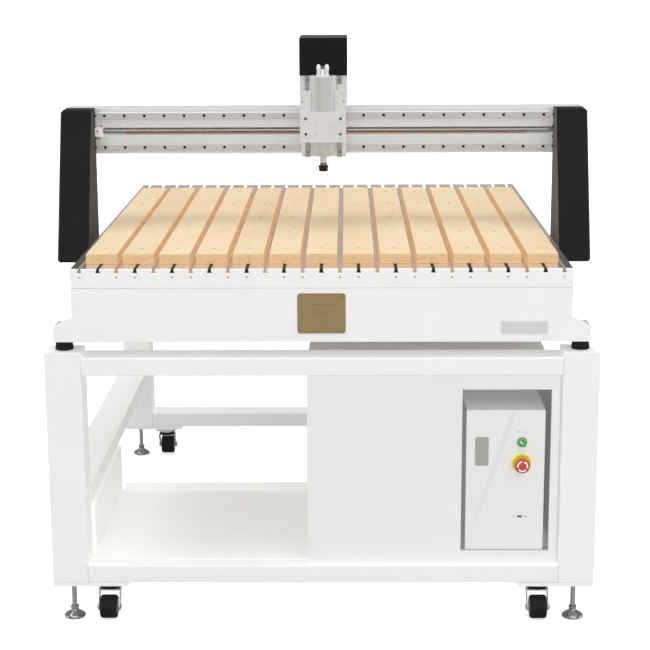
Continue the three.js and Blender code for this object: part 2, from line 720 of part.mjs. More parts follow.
// ---------------------------------------------------------------- assembly
standFrame();
shelfTray();
cabinetFrontPanel();
cabinetShell();
controlBox();
emergencyStop();
selectorKnob();
for (const corner of CORNERS) {
  casterFork(corner);
  casterWheel(corner);
  levelingFoot(corner);
  rubberMount(corner);
}
bedFrame();
tableAndFront();
mdfStrips();
longAxis();
for (const [name, side] of SIDES) column(name, side);
gantryBeam();
crossAxis();
zBasePlate();
zMotorCover();
zScrew();
zPlate();
spindleClamp();
spindle();

export default group;
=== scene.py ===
import bpy
import bmesh
import json
import math
import random
from functools import cached_property
from mathutils import Matrix, Vector

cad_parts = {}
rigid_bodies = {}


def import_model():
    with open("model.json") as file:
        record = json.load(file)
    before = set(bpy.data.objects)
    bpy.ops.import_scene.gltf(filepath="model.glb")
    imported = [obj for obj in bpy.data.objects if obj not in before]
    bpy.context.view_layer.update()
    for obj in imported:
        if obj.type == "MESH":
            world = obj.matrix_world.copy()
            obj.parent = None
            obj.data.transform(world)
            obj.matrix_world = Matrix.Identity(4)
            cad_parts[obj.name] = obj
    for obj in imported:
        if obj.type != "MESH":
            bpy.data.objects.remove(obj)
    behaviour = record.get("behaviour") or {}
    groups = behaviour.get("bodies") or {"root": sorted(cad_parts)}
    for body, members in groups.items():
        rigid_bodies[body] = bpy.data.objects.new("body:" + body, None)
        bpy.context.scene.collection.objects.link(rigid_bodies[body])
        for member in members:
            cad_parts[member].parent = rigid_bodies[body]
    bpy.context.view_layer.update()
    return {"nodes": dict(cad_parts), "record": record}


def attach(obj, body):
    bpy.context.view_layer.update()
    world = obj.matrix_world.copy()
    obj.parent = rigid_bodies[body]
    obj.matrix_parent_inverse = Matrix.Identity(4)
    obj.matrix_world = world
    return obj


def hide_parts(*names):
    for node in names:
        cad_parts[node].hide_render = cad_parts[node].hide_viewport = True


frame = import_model()
NODES = frame["nodes"]
BODY_OF = {
    node: body
    for body, nodes in frame["record"]["behaviour"]["bodies"].items()
    for node in nodes
}
SLOT_OF = {part["node"]: part["material_slot"] for part in frame["record"].get("subparts", [])}
random.seed(7)

MM = 0.001
HALF_LENGTH = 833.0  # half the bed's length
MIDDLE = 1.75  # the front switches put the overall middle this far ahead of the bed's
ENDS = (("front", -1), ("rear", 1))
SIDES = (("left", -1), ("right", 1))


def back(distance):
    """The y of a place this far back from the front of the bed."""
    return distance - HALF_LENGTH


# ------------------------------------------------------------------ shader graphs
class Graph:
    """The emptied node tree of a material or world, with short ways to add nodes."""

    def __init__(self, owner):
        owner.use_nodes = True
        self.tree = owner.node_tree
        self.tree.nodes.clear()

    def node(self, kind, **settings):
        made = self.tree.nodes.new(kind)
        for key, value in settings.items():
            setattr(made, key, value)
        return made

    def feed(self, socket, value):
        """Link a socket, or set a number, vector or colour (padded with full alpha)."""
        if isinstance(value, bpy.types.NodeSocket):
            self.tree.links.new(value, socket)
        elif isinstance(value, tuple):
            socket.default_value = (*value, 1.0)[: len(socket.default_value)]
        else:
            socket.default_value = value

    def split(self, vector):
        made = self.node("ShaderNodeSeparateXYZ")
        self.feed(made.inputs[0], vector)
        return made.outputs

    def remap(self, value, span, to=(0.0, 1.0), smooth=False):
        """Carry a span of values to another, clamped at its ends."""
        kind = "SMOOTHSTEP" if smooth else "LINEAR"
        made = self.node("ShaderNodeMapRange", interpolation_type=kind, clamp=True)
        for socket, number in zip(made.inputs, (value, *span, *to)):
            self.feed(socket, number)
        return made.outputs[0]


class Surface(Graph):
    """A material with a principled shader; patterns follow object coordinates in metres."""

    def __init__(self, name):
        self.material = bpy.data.materials.new(name)
        super().__init__(self.material)
        output = self.node("ShaderNodeOutputMaterial")
        self.shader = self.node("ShaderNodeBsdfPrincipled")
        self.feed(output.inputs[0], self.shader.outputs[0])
        self.place = self.node("ShaderNodeTexCoord").outputs["Object"]

    @cached_property
    def geometry(self):
        return self.node("ShaderNodeNewGeometry")

    def set(self, **inputs):
        """Feed shader inputs; underscores stand for the spaces in their names."""
        for key, value in inputs.items():
            self.feed(self.shader.inputs[key.replace("_", " ")], value)

    def math(self, operation, first, second=0.0, third=None, clamp=False):
        made = self.node("ShaderNodeMath", operation=operation, use_clamp=clamp)
        self.feed(made.inputs[0], first)
        self.feed(made.inputs[1], second)
        if third is not None:
            self.feed(made.inputs[2], third)
        return made.outputs[0]

    def scale(self, colour, factor):
        made = self.node("ShaderNodeVectorMath", operation="SCALE")
        self.feed(made.inputs[0], colour)
        self.feed(made.inputs["Scale"], factor)
        return made.outputs[0]

    def dot(self, first, second):
        made = self.node("ShaderNodeVectorMath", operation="DOT_PRODUCT")
        self.feed(made.inputs[0], first)
        self.feed(made.inputs[1], second)
        return made.outputs["Value"]

    def mix(self, factor, first, second):
        made = self.node("ShaderNodeMix", data_type="RGBA")
        self.feed(made.inputs[0], factor)
        self.feed(made.inputs[6], first)
        self.feed(made.inputs[7], second)
        return made.outputs[2]

    def noise(self, scale, detail=3.0, stretch=None, rough=0.55, offset=None):
        made = self.node("ShaderNodeTexNoise")
        made.inputs["Scale"].default_value = scale
        made.inputs["Detail"].default_value = detail
        made.inputs["Roughness"].default_value = rough
        source = self.place
        if stretch or offset:
            mapping = self.node("ShaderNodeMapping")
            mapping.inputs["Scale"].default_value = stretch or (1, 1, 1)
            mapping.inputs["Location"].default_value = offset or (0, 0, 0)
            self.feed(mapping.inputs[0], self.place)
            source = mapping.outputs[0]
        self.feed(made.inputs["Vector"], source)
        return made.outputs["Fac"]

    def line(self, coordinate, at, half, soft):
        """One within half a width of a coordinate, fading to zero over a soft edge."""
        away = self.math("ABSOLUTE", self.math("SUBTRACT", coordinate, at))
        return self.remap(away, (half, half + soft), to=(1.0, 0.0))

    def bump(self, height, strength, depth):
        made = self.node("ShaderNodeBump")
        made.inputs["Strength"].default_value = strength
        made.inputs["Distance"].default_value = depth
        self.feed(made.inputs["Height"], height)
        self.set(Normal=made.outputs[0])


# ------------------------------------------------------------------ tints of single materials
def weld_lines(surface, colour):
    """Thin dark lines where tubes and plates are welded together."""
    x, _, z = surface.split(surface.place)
    beside = surface.math("ABSOLUTE", x)
    rail_half = 0.0255
    rails = surface.math(
        "ADD",
        surface.math("COMPARE", z, 0.145, rail_half),
        surface.math("COMPARE", z, 0.740, rail_half),
        clamp=True,
    )
    seam = surface.line(beside, at=0.6553, half=0.0005, soft=0.0012)
    seam = surface.math("MULTIPLY", seam, rails)
    plate = surface.line(z, at=0.1198, half=0.0005, soft=0.001)
    marks = surface.math("MAXIMUM", seam, surface.math("MULTIPLY", plate, 0.8))
    return surface.mix(surface.math("MULTIPLY", marks, 0.42), colour, grey(0.30))


def leaning_stripe(surface, colour):
    """A faint printed stripe that leans across the front of the control box."""
    x, y, z = surface.split(surface.place)
    lean, stripe_x, stripe_z = 0.33, 0.528, 0.607
    rise = surface.math("SUBTRACT", z, stripe_z)
    along = surface.math("MULTIPLY_ADD", rise, lean, stripe_x)
    across = surface.math("SUBTRACT", x, along)
    stripe = surface.line(across, at=0.0, half=0.0065, soft=0.002)
    on_front = surface.math("LESS_THAN", y, (back(31) + MIDDLE) * MM)
    stripe = surface.math("MULTIPLY", stripe, on_front)
    stripe = surface.math("MULTIPLY", stripe, surface.remap(z, (0.26, 0.36)))
    return surface.mix(surface.math("MULTIPLY", stripe, 0.85), colour, (0.80, 0.79, 0.785))


def painted_side_light_and_patches(surface, colour):
    """Painted light on the faces to the sides, more of it on those facing left, and dark patches
    over all.
    """
    patches = surface.noise(scale=26.0, detail=5.0, rough=0.7)
    sideways = surface.split(surface.geometry.outputs["True Normal"])[0]
    flank = surface.remap(surface.math("ABSOLUTE", sideways), (0.9, 0.97))
    speck = surface.noise(scale=420.0, rough=0.7)
    # painted light: side faces get a lighter speckled tone, standing in for the light they catch
    # from the table
    side_light_tone = surface.mix(
        surface.remap(speck, (0.35, 0.65)), (0.038, 0.037, 0.035), (0.078, 0.076, 0.072)
    )
    colour = surface.mix(surface.math("MULTIPLY", flank, 0.85), colour, side_light_tone)
    # painted light: faces looking left are made paler still
    left = surface.remap(sideways, (-0.97, -0.9), to=(1.0, 0.0), smooth=True)
    colour = surface.mix(surface.math("MULTIPLY", left, 0.8), colour, (0.115, 0.112, 0.107))
    dark = surface.remap(patches, (0.55, 0.8), to=(0.0, 0.3))
    return surface.mix(dark, colour, (0.019, 0.019, 0.020))


def dusty_top(surface, colour):
    """Dust settled on the faces that look up."""
    upward = surface.split(surface.geometry.outputs["True Normal"])[2]
    dust = surface.math("MULTIPLY", surface.remap(upward, (0.9, 0.97)), 0.8)
    return surface.mix(dust, colour, (0.055, 0.055, 0.053))


def painted_rim_sheen(surface, colour):
    """Painted sheen: the turned metal is made darker square on than at its rims, as if catching
    light at its edges.
    """
    weight = surface.node("ShaderNodeLayerWeight")
    weight.inputs["Blend"].default_value = 0.5
    facing = surface.remap(weight.outputs["Facing"], (0.0, 0.55), to=(1.0, 0.0), smooth=True)
    # painted sheen: the colour darkens where the surface faces the camera
    return surface.mix(facing, colour, (0.47, 0.475, 0.47))


# ------------------------------------------------------------------ plain finishes
def grey(value):
    return (value, value, value)


def make_finish(name, colour, edge, rough, metal, patches, grain, bump, rough_spread=0.1,
                edge_radius=0.0012, stretch=None, specular=0.5, coat=0.0, tint=None):
    """Paint, metal or plastic with soft patches, fine grain and worn edges."""
    surface = Surface(name)
    patch_amount, patch_scale = patches
    grain_amount, grain_scale = grain
    large = surface.noise(scale=patch_scale, detail=4.0)
    middle = surface.noise(scale=patch_scale * 9.0, offset=(3.1, 1.7, 0.4))
    fine = surface.noise(scale=grain_scale, stretch=stretch)
    if tint:
        colour = tint(surface, colour)
    shade = surface.math(
        "ADD",
        surface.remap(large, (0.25, 0.75), to=(1.0 - patch_amount, 1.0 + patch_amount)),
        surface.remap(fine, (0.25, 0.75), to=(-grain_amount, grain_amount)),
    )
    colour = surface.scale(colour, shade)
    # an edge is where the rounded normal leaves the true one; wear breaks it up
    rounded_edge = surface.node("ShaderNodeBevel", samples=3)
    rounded_edge.inputs["Radius"].default_value = edge_radius
    agreement = surface.dot(rounded_edge.outputs[0], surface.geometry.outputs["Normal"])
    worn = surface.remap(surface.math("SUBTRACT", 1.0, agreement), (0.03, 0.24))
    wear = surface.remap(middle, (0.35, 0.6), to=(0.25, 0.8))
    worn = surface.math("MULTIPLY", worn, wear)
    half, third = rough_spread / 2, rough_spread / 3
    roughness = surface.math(
        "ADD",
        surface.remap(middle, (0.3, 0.7), to=(rough - half, rough + half)),
        surface.remap(fine, (0.3, 0.7), to=(-third, third)),
        clamp=True,
    )
    surface.set(
        Base_Color=surface.mix(worn, colour, edge),
        Roughness=roughness,
        Metallic=metal,
        Specular_IOR_Level=specular,
    )
    if coat:
        surface.set(Coat_Weight=coat, Coat_Roughness=0.15)
    strength, depth = bump
    surface.bump(fine, strength=strength, depth=depth)
    return surface.material


# Columns: name, colour, worn edge colour, roughness, metallic, patches (amount, scale),
# grain (amount, scale), bump (strength, depth in metres), further arguments of make_finish.
FINISHES = (
    ("white_powder_coat", (0.815, 0.815, 0.806), (0.88, 0.88, 0.87), 0.52, 0.0,
     (0.012, 3), (0.012, 1400), (0.25, 0.00025), dict(edge_radius=0.0015)),
    ("stand_powder_coat", (0.815, 0.815, 0.806), (0.88, 0.88, 0.87), 0.5, 0.0,
     (0.012, 3), (0.012, 1400), (0.25, 0.00025), dict(edge_radius=0.0015, tint=weld_lines)),
    ("panel_powder_coat", (0.86, 0.86, 0.85), (0.87, 0.87, 0.86), 0.55, 0.0,
     (0.014, 2.4), (0.014, 1600), (0.22, 0.0002), dict(edge_radius=0.001)),
    ("bare_sheet", (0.78, 0.78, 0.77), grey(0.8), 0.5, 0.1,
     (0.02, 4), (0.015, 1200), (0.2, 0.0002), {}),
    ("control_box_paint", (0.86, 0.86, 0.85), (0.88, 0.88, 0.87), 0.42, 0.0,
     (0.01, 4), (0.01, 1600), (0.18, 0.0002), dict(tint=leaning_stripe)),
    ("black_powder_coat", (0.0068, 0.0068, 0.0072), (0.055, 0.055, 0.057), 0.62, 0.0,
     (0.10, 8), (0.35, 650), (0.7, 0.0006),
     dict(rough_spread=0.14, edge_radius=0.0016, specular=0.13, tint=painted_side_light_and_patches)),
    ("cover_black", (0.0065, 0.0065, 0.007), (0.05, 0.05, 0.052), 0.6, 0.0,
     (0.08, 8), (0.25, 800), (0.45, 0.0004),
     dict(rough_spread=0.14, specular=0.1, tint=dusty_top)),
    ("black_rubber", (0.009, 0.009, 0.0095), grey(0.025), 0.75, 0.0,
     (0.2, 30), (0.2, 900), (0.4, 0.0003), dict(specular=0.15)),
    ("caster_tyre", (0.008, 0.008, 0.0095), (0.025, 0.025, 0.027), 0.55, 0.0,
     (0.15, 40), (0.15, 700), (0.35, 0.0003), dict(specular=0.13)),
    ("zinc_plate", (0.66, 0.665, 0.66), grey(0.8), 0.3, 1.0,
     (0.08, 30), (0.05, 500), (0.15, 0.0002), dict(rough_spread=0.16)),
    ("chrome_foot", (0.33, 0.33, 0.325), grey(0.85), 0.2, 1.0,
     (0.04, 30), (0.03, 900), (0.06, 0.0001), {}),
    ("ground_steel", (0.52, 0.525, 0.525), grey(0.7), 0.28, 1.0,
     (0.05, 14), (0.08, 260), (0.12, 0.0002), dict(stretch=(1, 14, 14), rough_spread=0.12)),
    ("screw_steel", (0.36, 0.355, 0.345), grey(0.6), 0.25, 1.0,
     (0.06, 20), (0.08, 600), (0.2, 0.0002), dict(rough_spread=0.14)),
    ("black_oxide_bolt", (0.018, 0.018, 0.019), grey(0.12), 0.38, 0.6,
     (0.15, 60), (0.2, 900), (0.2, 0.0002), dict(edge_radius=0.0005)),
    ("zinc_bolt", (0.45, 0.44, 0.42), grey(0.7), 0.32, 1.0,
     (0.08, 60), (0.1, 900), (0.1, 0.0002), dict(edge_radius=0.0005)),
    ("clear_anodised", (0.645, 0.645, 0.64), grey(0.82), 0.42, 0.35,
     (0.02, 5), (0.03, 220), (0.14, 0.0002), dict(stretch=(1, 12, 12))),
    ("carriage_anodised", (0.70, 0.70, 0.694), grey(0.8), 0.46, 0.2,
     (0.02, 8), (0.03, 260), (0.14, 0.0002), dict(stretch=(10, 10, 1))),
    ("head_anodised", (0.585, 0.585, 0.58), grey(0.74), 0.46, 0.2,
     (0.02, 8), (0.03, 260), (0.14, 0.0002), dict(stretch=(10, 10, 1))),
    ("nose_ground", (0.52, 0.52, 0.515), grey(0.7), 0.4, 0.4,
     (0.02, 20), (0.04, 300), (0.1, 0.0002), dict(stretch=(1, 1, 18), rough_spread=0.08)),
    ("nickel_nipple", (0.74, 0.74, 0.73), grey(0.85), 0.3, 0.45,
     (0.03, 60), (0.03, 700), (0.08, 0.0001), dict(edge_radius=0.0005)),
    ("clamp_anodised", (0.595, 0.595, 0.59), grey(0.82), 0.55, 0.15,
     (0.015, 20), (0.035, 900), (0.3, 0.0002), {}),
    ("spindle_brushed", (0.54, 0.548, 0.542), grey(0.8), 0.46, 0.35,
     (0.02, 20), (0.05, 300), (0.1, 0.0002),
     dict(stretch=(1, 1, 18), rough_spread=0.08, tint=painted_rim_sheen)),
    ("dark_steel", grey(0.16), grey(0.35), 0.4, 1.0,
     (0.1, 40), (0.1, 600), (0.2, 0.0002), {}),
    ("collet_nut_oxide", (0.009, 0.009, 0.010), grey(0.07), 0.5, 0.1,
     (0.15, 60), (0.15, 700), (0.2, 0.0002), dict(edge_radius=0.0006, specular=0.25)),
    ("bed_aluminium", (0.66, 0.66, 0.655), grey(0.8), 0.42, 0.6,
     (0.03, 6), (0.04, 240), (0.15, 0.0002), dict(stretch=(10, 1, 10))),
    ("brass_badge", (0.30, 0.212, 0.098), (0.30, 0.16, 0.08), 0.42, 0.55,
     (0.06, 30), (0.06, 500), (0.12, 0.0002), dict(stretch=(1, 1, 12), edge_radius=0.0018)),
    ("brass_relief", (0.10, 0.062, 0.032), (0.42, 0.32, 0.16), 0.4, 0.7,
     (0.08, 40), (0.06, 500), (0.12, 0.0002), {}),
    ("grey_badge", (0.60, 0.60, 0.595), grey(0.8), 0.45, 0.1,
     (0.02, 20), (0.02, 900), (0.08, 0.0001), {}),
    ("badge_border", grey(0.80), grey(0.85), 0.45, 0.1,
     (0.02, 20), (0.02, 900), (0.08, 0.0001), {}),
    ("yellow_plastic", (0.63, 0.60, 0.03), (0.80, 0.76, 0.2), 0.36, 0.0,
     (0.04, 40), (0.03, 900), (0.08, 0.0001), dict(edge_radius=0.0008)),
    ("red_plastic", (0.54, 0.035, 0.024), (0.72, 0.15, 0.12), 0.34, 0.0,
     (0.05, 40), (0.03, 900), (0.08, 0.0001), dict(edge_radius=0.0008, coat=0.2)),
    ("dark_rim", (0.16, 0.075, 0.06), (0.3, 0.12, 0.1), 0.45, 0.0,
     (0.05, 40), (0.03, 900), (0.08, 0.0001), dict(edge_radius=0.0006)),
    ("white_print", (0.83, 0.83, 0.80), grey(0.9), 0.5, 0.0,
     (0.03, 60), (0.02, 900), (0.08, 0.0001), dict(edge_radius=0.0003)),
    ("green_plastic", (0.055, 0.33, 0.08), (0.2, 0.55, 0.22), 0.34, 0.0,
     (0.05, 50), (0.03, 900), (0.08, 0.0001), dict(edge_radius=0.0006, coat=0.2)),
    ("window_grey", (0.34, 0.345, 0.32), (0.5, 0.5, 0.48), 0.5, 0.0,
     (0.03, 30), (0.02, 900), (0.06, 0.0001), dict(edge_radius=0.0006)),
    ("legend_print", (0.50, 0.41, 0.36), (0.72, 0.66, 0.62), 0.5, 0.0,
     (0.05, 60), (0.03, 900), (0.05, 0.0001), dict(edge_radius=0.0003)),
    ("usb_tongue", (0.045, 0.055, 0.25), (0.1, 0.12, 0.4), 0.4, 0.0,
     (0.05, 90), (0.03, 900), (0.05, 0.0001), dict(edge_radius=0.0003)),
    ("dark_bezel", (0.21, 0.215, 0.21), grey(0.5), 0.32, 0.9,
     (0.05, 50), (0.05, 600), (0.08, 0.0001), dict(edge_radius=0.0006)),
    ("copper_brown", (0.42, 0.20, 0.10), (0.6, 0.35, 0.2), 0.4, 0.6,
     (0.05, 50), (0.05, 600), (0.08, 0.0001), dict(edge_radius=0.0005)),
    ("motor_black", (0.02, 0.02, 0.021), grey(0.1), 0.5, 0.2,
     (0.1, 30), (0.1, 700), (0.2, 0.0002), {}),
    ("counterbore_shadow", (0.36, 0.21, 0.10), (0.5, 0.3, 0.15), 0.7, 0.0,
     (0.1, 60), (0.1, 900), (0.3, 0.0002), dict(edge_radius=0.0004)),
    # painted reflection: the brown of the fibreboard strips as seen in the cross screw
    ("brown_felt", (0.47, 0.235, 0.125), (0.55, 0.3, 0.18), 0.8, 0.0,
     (0.08, 30), (0.1, 900), (0.4, 0.0003), dict(edge_radius=0.0005, specular=0.2)),
    ("z_rail_steel", (0.30, 0.305, 0.30), grey(0.5), 0.34, 0.9,
     (0.05, 14), (0.08, 260), (0.12, 0.0002), dict(stretch=(14, 14, 1), rough_spread=0.12)),
    ("grey_bolt", (0.10, 0.10, 0.105), grey(0.4), 0.35, 0.8,
     (0.1, 60), (0.1, 900), (0.15, 0.0002), dict(edge_radius=0.0005)),
)


# ------------------------------------------------------------------ special materials
def make_rail_steel():
    surface = Surface("rail_steel")
    fine = surface.noise(scale=240.0, stretch=(1, 16, 16))
    large = surface.noise(scale=9.0, stretch=(1, 0.3, 3))
    colour = surface.mix(
        surface.remap(large, (0.35, 0.7)), (0.46, 0.455, 0.445), (0.52, 0.495, 0.475)
    )
    surface.set(
        Base_Color=surface.scale(colour, surface.remap(fine, (0.25, 0.75), to=(0.93, 1.07))),
        Roughness=surface.remap(fine, (0.2, 0.8), to=(0.34, 0.48)),
        Metallic=0.55,
    )
    surface.bump(fine, strength=0.12, depth=0.0002)
    return surface.material


def make_table_aluminium():
    """Milled along y, with brown board dust lying between the strips."""
    surface = Surface("table_aluminium")
    x = surface.split(surface.place)[0]
    mill = surface.noise(scale=300.0, stretch=(1, 0.05, 1))
    large = surface.noise(scale=5.0, detail=4.0)
    speck = surface.noise(scale=900.0, detail=2.0)
    shade = surface.math(
        "ADD",
        surface.remap(mill, (0.25, 0.75), to=(0.95, 1.05)),
        surface.remap(large, (0.3, 0.7), to=(-0.03, 0.03)),
    )
    colour = surface.scale((0.74, 0.735, 0.725), shade)
    within = surface.remap(surface.math("ABSOLUTE", x), (0.638, 0.646), to=(1.0, 0.0))
    amount = surface.remap(large, (0.3, 0.65), to=(0.55, 0.95))
    dust = surface.math("MULTIPLY", within, amount)
    roughness = surface.math(
        "ADD",
        surface.remap(mill, (0.25, 0.75), to=(0.14, 0.24)),
        surface.remap(speck, (0.3, 0.7), to=(-0.02, 0.03)),
    )
    surface.set(
        Base_Color=surface.mix(dust, colour, (0.66, 0.50, 0.39)),
        Roughness=roughness,
        Metallic=surface.remap(dust, (0.0, 1.0), to=(0.9, 0.55)),
    )
    surface.bump(mill, strength=0.08, depth=0.0002)
    return surface.material


def make_fibreboard():
    """Pale pressed faces and browner cut edges, each strip a slightly different shade."""
    surface = Surface("fibreboard")
    x, _, z = surface.split(surface.place)
    fibre = surface.noise(scale=1300.0, detail=4.0, rough=0.7)
    clump = surface.noise(scale=160.0, detail=4.0, stretch=(1.0, 0.55, 1.0), rough=0.65)
    cloud = surface.noise(scale=4.2, detail=4.0, stretch=(1, 0.6, 1), offset=(1.3, 0.2, 0))
    strips_start, strips_per_metre = 0.65, 10.0
    strip = surface.math("ADD", x, strips_start)
    strip = surface.math("FLOOR", surface.math("MULTIPLY", strip, strips_per_metre))
    white = surface.node("ShaderNodeTexWhiteNoise", noise_dimensions="1D")
    surface.feed(white.inputs["W"], strip)
    upward = surface.split(surface.geometry.outputs["Normal"])[2]
    top = surface.remap(upward, (0.55, 0.85))

    # cut edges have a darker core at the middle of the board's thickness
    from_core = surface.math("ABSOLUTE", surface.math("SUBTRACT", z, 1.024))
    core = surface.remap(from_core, (0.0, 0.014))
    edge = surface.mix(core, (0.72, 0.50, 0.28), (0.765, 0.565, 0.335))
    brown = surface.remap(clump, (0.38, 0.66), to=(0.0, 0.6))
    edge = surface.mix(brown, edge, (0.62, 0.41, 0.21))
    face = surface.mix(
        surface.remap(cloud, (0.3, 0.7)), (0.69, 0.56, 0.385), (0.65, 0.49, 0.305)
    )
    brown = surface.remap(clump, (0.5, 0.75), to=(0.0, 0.4))
    face = surface.mix(brown, face, (0.60, 0.435, 0.265))
    strip_shade = surface.remap(white.outputs["Value"], (0.0, 1.0), to=(0.965, 1.02))
    face = surface.scale(face, strip_shade)
    colour = surface.mix(top, edge, face)
    fibre_shade = surface.remap(fibre, (0.25, 0.75), to=(0.93, 1.06))
    roughness = surface.math(
        "ADD",
        surface.remap(clump, (0.3, 0.7), to=(0.62, 0.8)),
        surface.math("MULTIPLY", top, -0.08),
    )
    surface.set(
        Base_Color=surface.scale(colour, fibre_shade),
        Roughness=roughness,
        Specular_IOR_Level=0.3,
    )
    height = surface.math("ADD", fibre, surface.math("MULTIPLY", clump, 0.6))
    surface.bump(height, strength=0.35, depth=0.0004)
    return surface.material


MATERIALS = {row[0]: make_finish(*row[:-1], **row[-1]) for row in FINISHES}
MATERIALS["rail_steel"] = make_rail_steel()
MATERIALS["table_aluminium"] = make_table_aluminium()
MATERIALS["fibreboard"] = make_fibreboard()


# ------------------------------------------------------------------ outlines and profiles
def around(centre, half):
    return (centre - half, centre + half)


def polar(centre, radius, angle):
    return (centre[0] + radius * math.cos(angle), centre[1] + radius * math.sin(angle))


def arc(centre, radius, start, end, steps):
    """Points from one angle to another, in degrees."""
    angles = [math.radians(start + (end - start) * i / steps) for i in range(steps + 1)]
    return [polar(centre, radius, angle) for angle in angles]


def rounded(across, along, radius, steps=4):
    """A rectangle with rounded corners, from its two spans."""
    (left, right), (low, high) = across, along
    corners = (
        (right - radius, high - radius, 0), (left + radius, high - radius, 90),
        (left + radius, low + radius, 180), (right - radius, low + radius, 270),
    )
    points = []
    for u, v, start in corners:
        points += arc((u, v), radius, start, start + 90, steps)
    return points


def turned(points, centre, angle):
    """Points turned by an angle in radians and moved to a centre."""
    cos, sin = math.cos(angle), math.sin(angle)
    return [(centre[0] + u * cos - v * sin, centre[1] + u * sin + v * cos) for u, v in points]


def mirrored(side, points):
    return [(side * u, v) for u, v in points]


def set_back(*profile):
    """A lathe profile along y, from pairs of radius and distance back from the bed's front."""
    return [(radius, back(distance)) for radius, distance in profile]


def on_axis(axis, u, v, along):
    """A point from its place along an axis and its two other coordinates, in x, y, z order."""
    return {"X": (along, u, v), "Y": (u, along, v), "Z": (u, v, along)}[axis]


# ------------------------------------------------------------------ shapes
class Shape:
    """A mesh under construction, in millimetres. Each method adds a solid and returns self."""

    def __init__(self):
        self.mesh = bmesh.new()

    def rings(self, rings, loop=False):
        """Join rings of points; the ends are capped, or joined to each other in a loop."""
        rows = [[self.mesh.verts.new(point) for point in ring] for ring in rings]
        pairs = list(zip(rows[:-1], rows[1:]))
        if loop:
            pairs.append((rows[-1], rows[0]))
        count = len(rows[0])
        for low, high in pairs:
            for i in range(count):
                j = (i + 1) % count
                self.mesh.faces.new((low[i], low[j], high[j], high[i]))
        if not loop:
            self.mesh.faces.new(rows[0][::-1])
            self.mesh.faces.new(rows[-1])
        return self

    def prism(self, outline, axis, start, end):
        return self.rings([[on_axis(axis, u, v, a) for u, v in outline] for a in (start, end)])

    def box(self, across, along, height):
        (x0, x1), (y0, y1) = across, along
        return self.prism([(x0, y0), (x1, y0), (x1, y1), (x0, y1)], "Z", *height)

    def border(self, outline, stations):
        """A closed frame facing front: outline(size) at pairs of size and distance back."""
        rings = [[(u, back(away), v) for u, v in outline(size)] for size, away in stations]
        return self.rings(rings, loop=True)

    def lathe(self, profile, axis, centre, steps, loop=False, phase=0.0):
        """Turn pairs of radius and height about an axis."""
        angles = [phase + 2 * math.pi * i / steps for i in range(steps)]
        rings = [
            [on_axis(axis, *polar(centre, radius, angle), height) for angle in angles]
            for radius, height in profile
        ]
        return self.rings(rings, loop)

    def hexagon(self, axis, centre, radius, seat, face, phase):
        sign = 1 if face > seat else -1
        profile = [
            (radius * 0.9, seat), (radius, seat + sign * radius * 0.08),
            (radius, face - sign * radius * 0.12), (radius * 0.86, face),
        ]
        return self.lathe(profile, axis, centre, 6, phase=phase)

    def screw(self, axis, centre, radius, seat, face):
        """A cap head with a hexagon socket."""
        sign = 1 if face > seat else -1
        angles = [2 * math.pi * i / 24 for i in range(24)]
        sixth = math.pi / 3
        rings = []
        for reach, height in ((radius, seat), (radius, face - sign * radius * 0.12),
                              (radius * 0.88, face)):
            rings.append([on_axis(axis, *polar(centre, reach, a), height) for a in angles])
        floor = face - sign * min(abs(face - seat) * 0.7, radius * 0.7)
        for height in (face, floor):
            ring = []
            for angle in angles:
                from_flat = (angle + sixth / 2) % sixth - sixth / 2
                reach = radius * 0.5 / math.cos(from_flat)
                ring.append(on_axis(axis, *polar(centre, reach, angle), height))
            rings.append(ring)
        return self.rings(rings)

    def thread(self, axis, centre, radius, start, end, pitch, depth, steps):
        """Grooves around a rod, at the nearest whole number of pitches."""
        root = radius - depth
        turns = int((end - start) / pitch)
        turn = (end - start) / turns
        profile = [(root, start)]
        for i in range(turns):
            height = start + i * turn
            for reach, part in ((root, 0.12), (radius, 0.38), (radius, 0.62), (root, 0.88)):
                profile.append((reach, height + part * turn))
        profile.append((root, end))
        return self.lathe(profile, axis, centre, steps)

    def weld(self, start, end, radius=2.4):
        """A bead with the ripple of the weld pool."""
        spacing, ripple, jitter, steps = 3.2, 0.25, 0.15, 7
        start, end = Vector(start), Vector(end)
        path = end - start
        count = int(path.length / spacing)
        ahead = path.normalized()
        up = Vector((0, 0, 1)) if abs(ahead.z) < 0.9 else Vector((1, 0, 0))
        beside = ahead.cross(up).normalized()
        above = beside.cross(ahead)
        rings = []
        for i in range(count + 1):
            wobble = (ripple if i % 2 else -ripple) + random.uniform(-jitter, jitter)
            reach = radius * 0.5 if i in (0, count) else radius + wobble
            centre = start + path * (i / count)
            offsets = [polar((0, 0), reach, 2 * math.pi * k / steps) for k in range(steps)]
            rings.append([tuple(centre + beside * u + above * v) for u, v in offsets])
        return self.rings(rings)

    def settle(self, shift):
        """Face outward, move back to the overall middle and turn millimetres into metres."""
        bmesh.ops.recalc_face_normals(self.mesh, faces=self.mesh.faces[:])
        if shift:
            bmesh.ops.translate(self.mesh, vec=(0, shift, 0), verts=self.mesh.verts[:])
        bmesh.ops.scale(self.mesh, vec=(MM, MM, MM), verts=self.mesh.verts[:])

    def drill(self, holes):
        """Take the solids of another shape out of this one."""
        work = []
        for source in (self.mesh, holes.mesh):
            data = bpy.data.meshes.new("work")
            source.to_mesh(data)
            source.free()
            made = bpy.data.objects.new("work", data)
            bpy.context.scene.collection.objects.link(made)
            work.append(made)
        cut = work[0].modifiers.new("holes", "BOOLEAN")
        cut.operation = "DIFFERENCE"
        cut.solver = "EXACT"
        cut.object = work[1]
        evaluated = work[0].evaluated_get(bpy.context.evaluated_depsgraph_get())
        result = bpy.data.meshes.new_from_object(evaluated)
        self.mesh = bmesh.new()
        self.mesh.from_mesh(result)
        bpy.data.meshes.remove(result)
        for made in work:
            data = made.data
            bpy.data.objects.remove(made, do_unlink=True)
            bpy.data.meshes.remove(data)
        bmesh.ops.remove_doubles(self.mesh, verts=self.mesh.verts[:], dist=2e-6)

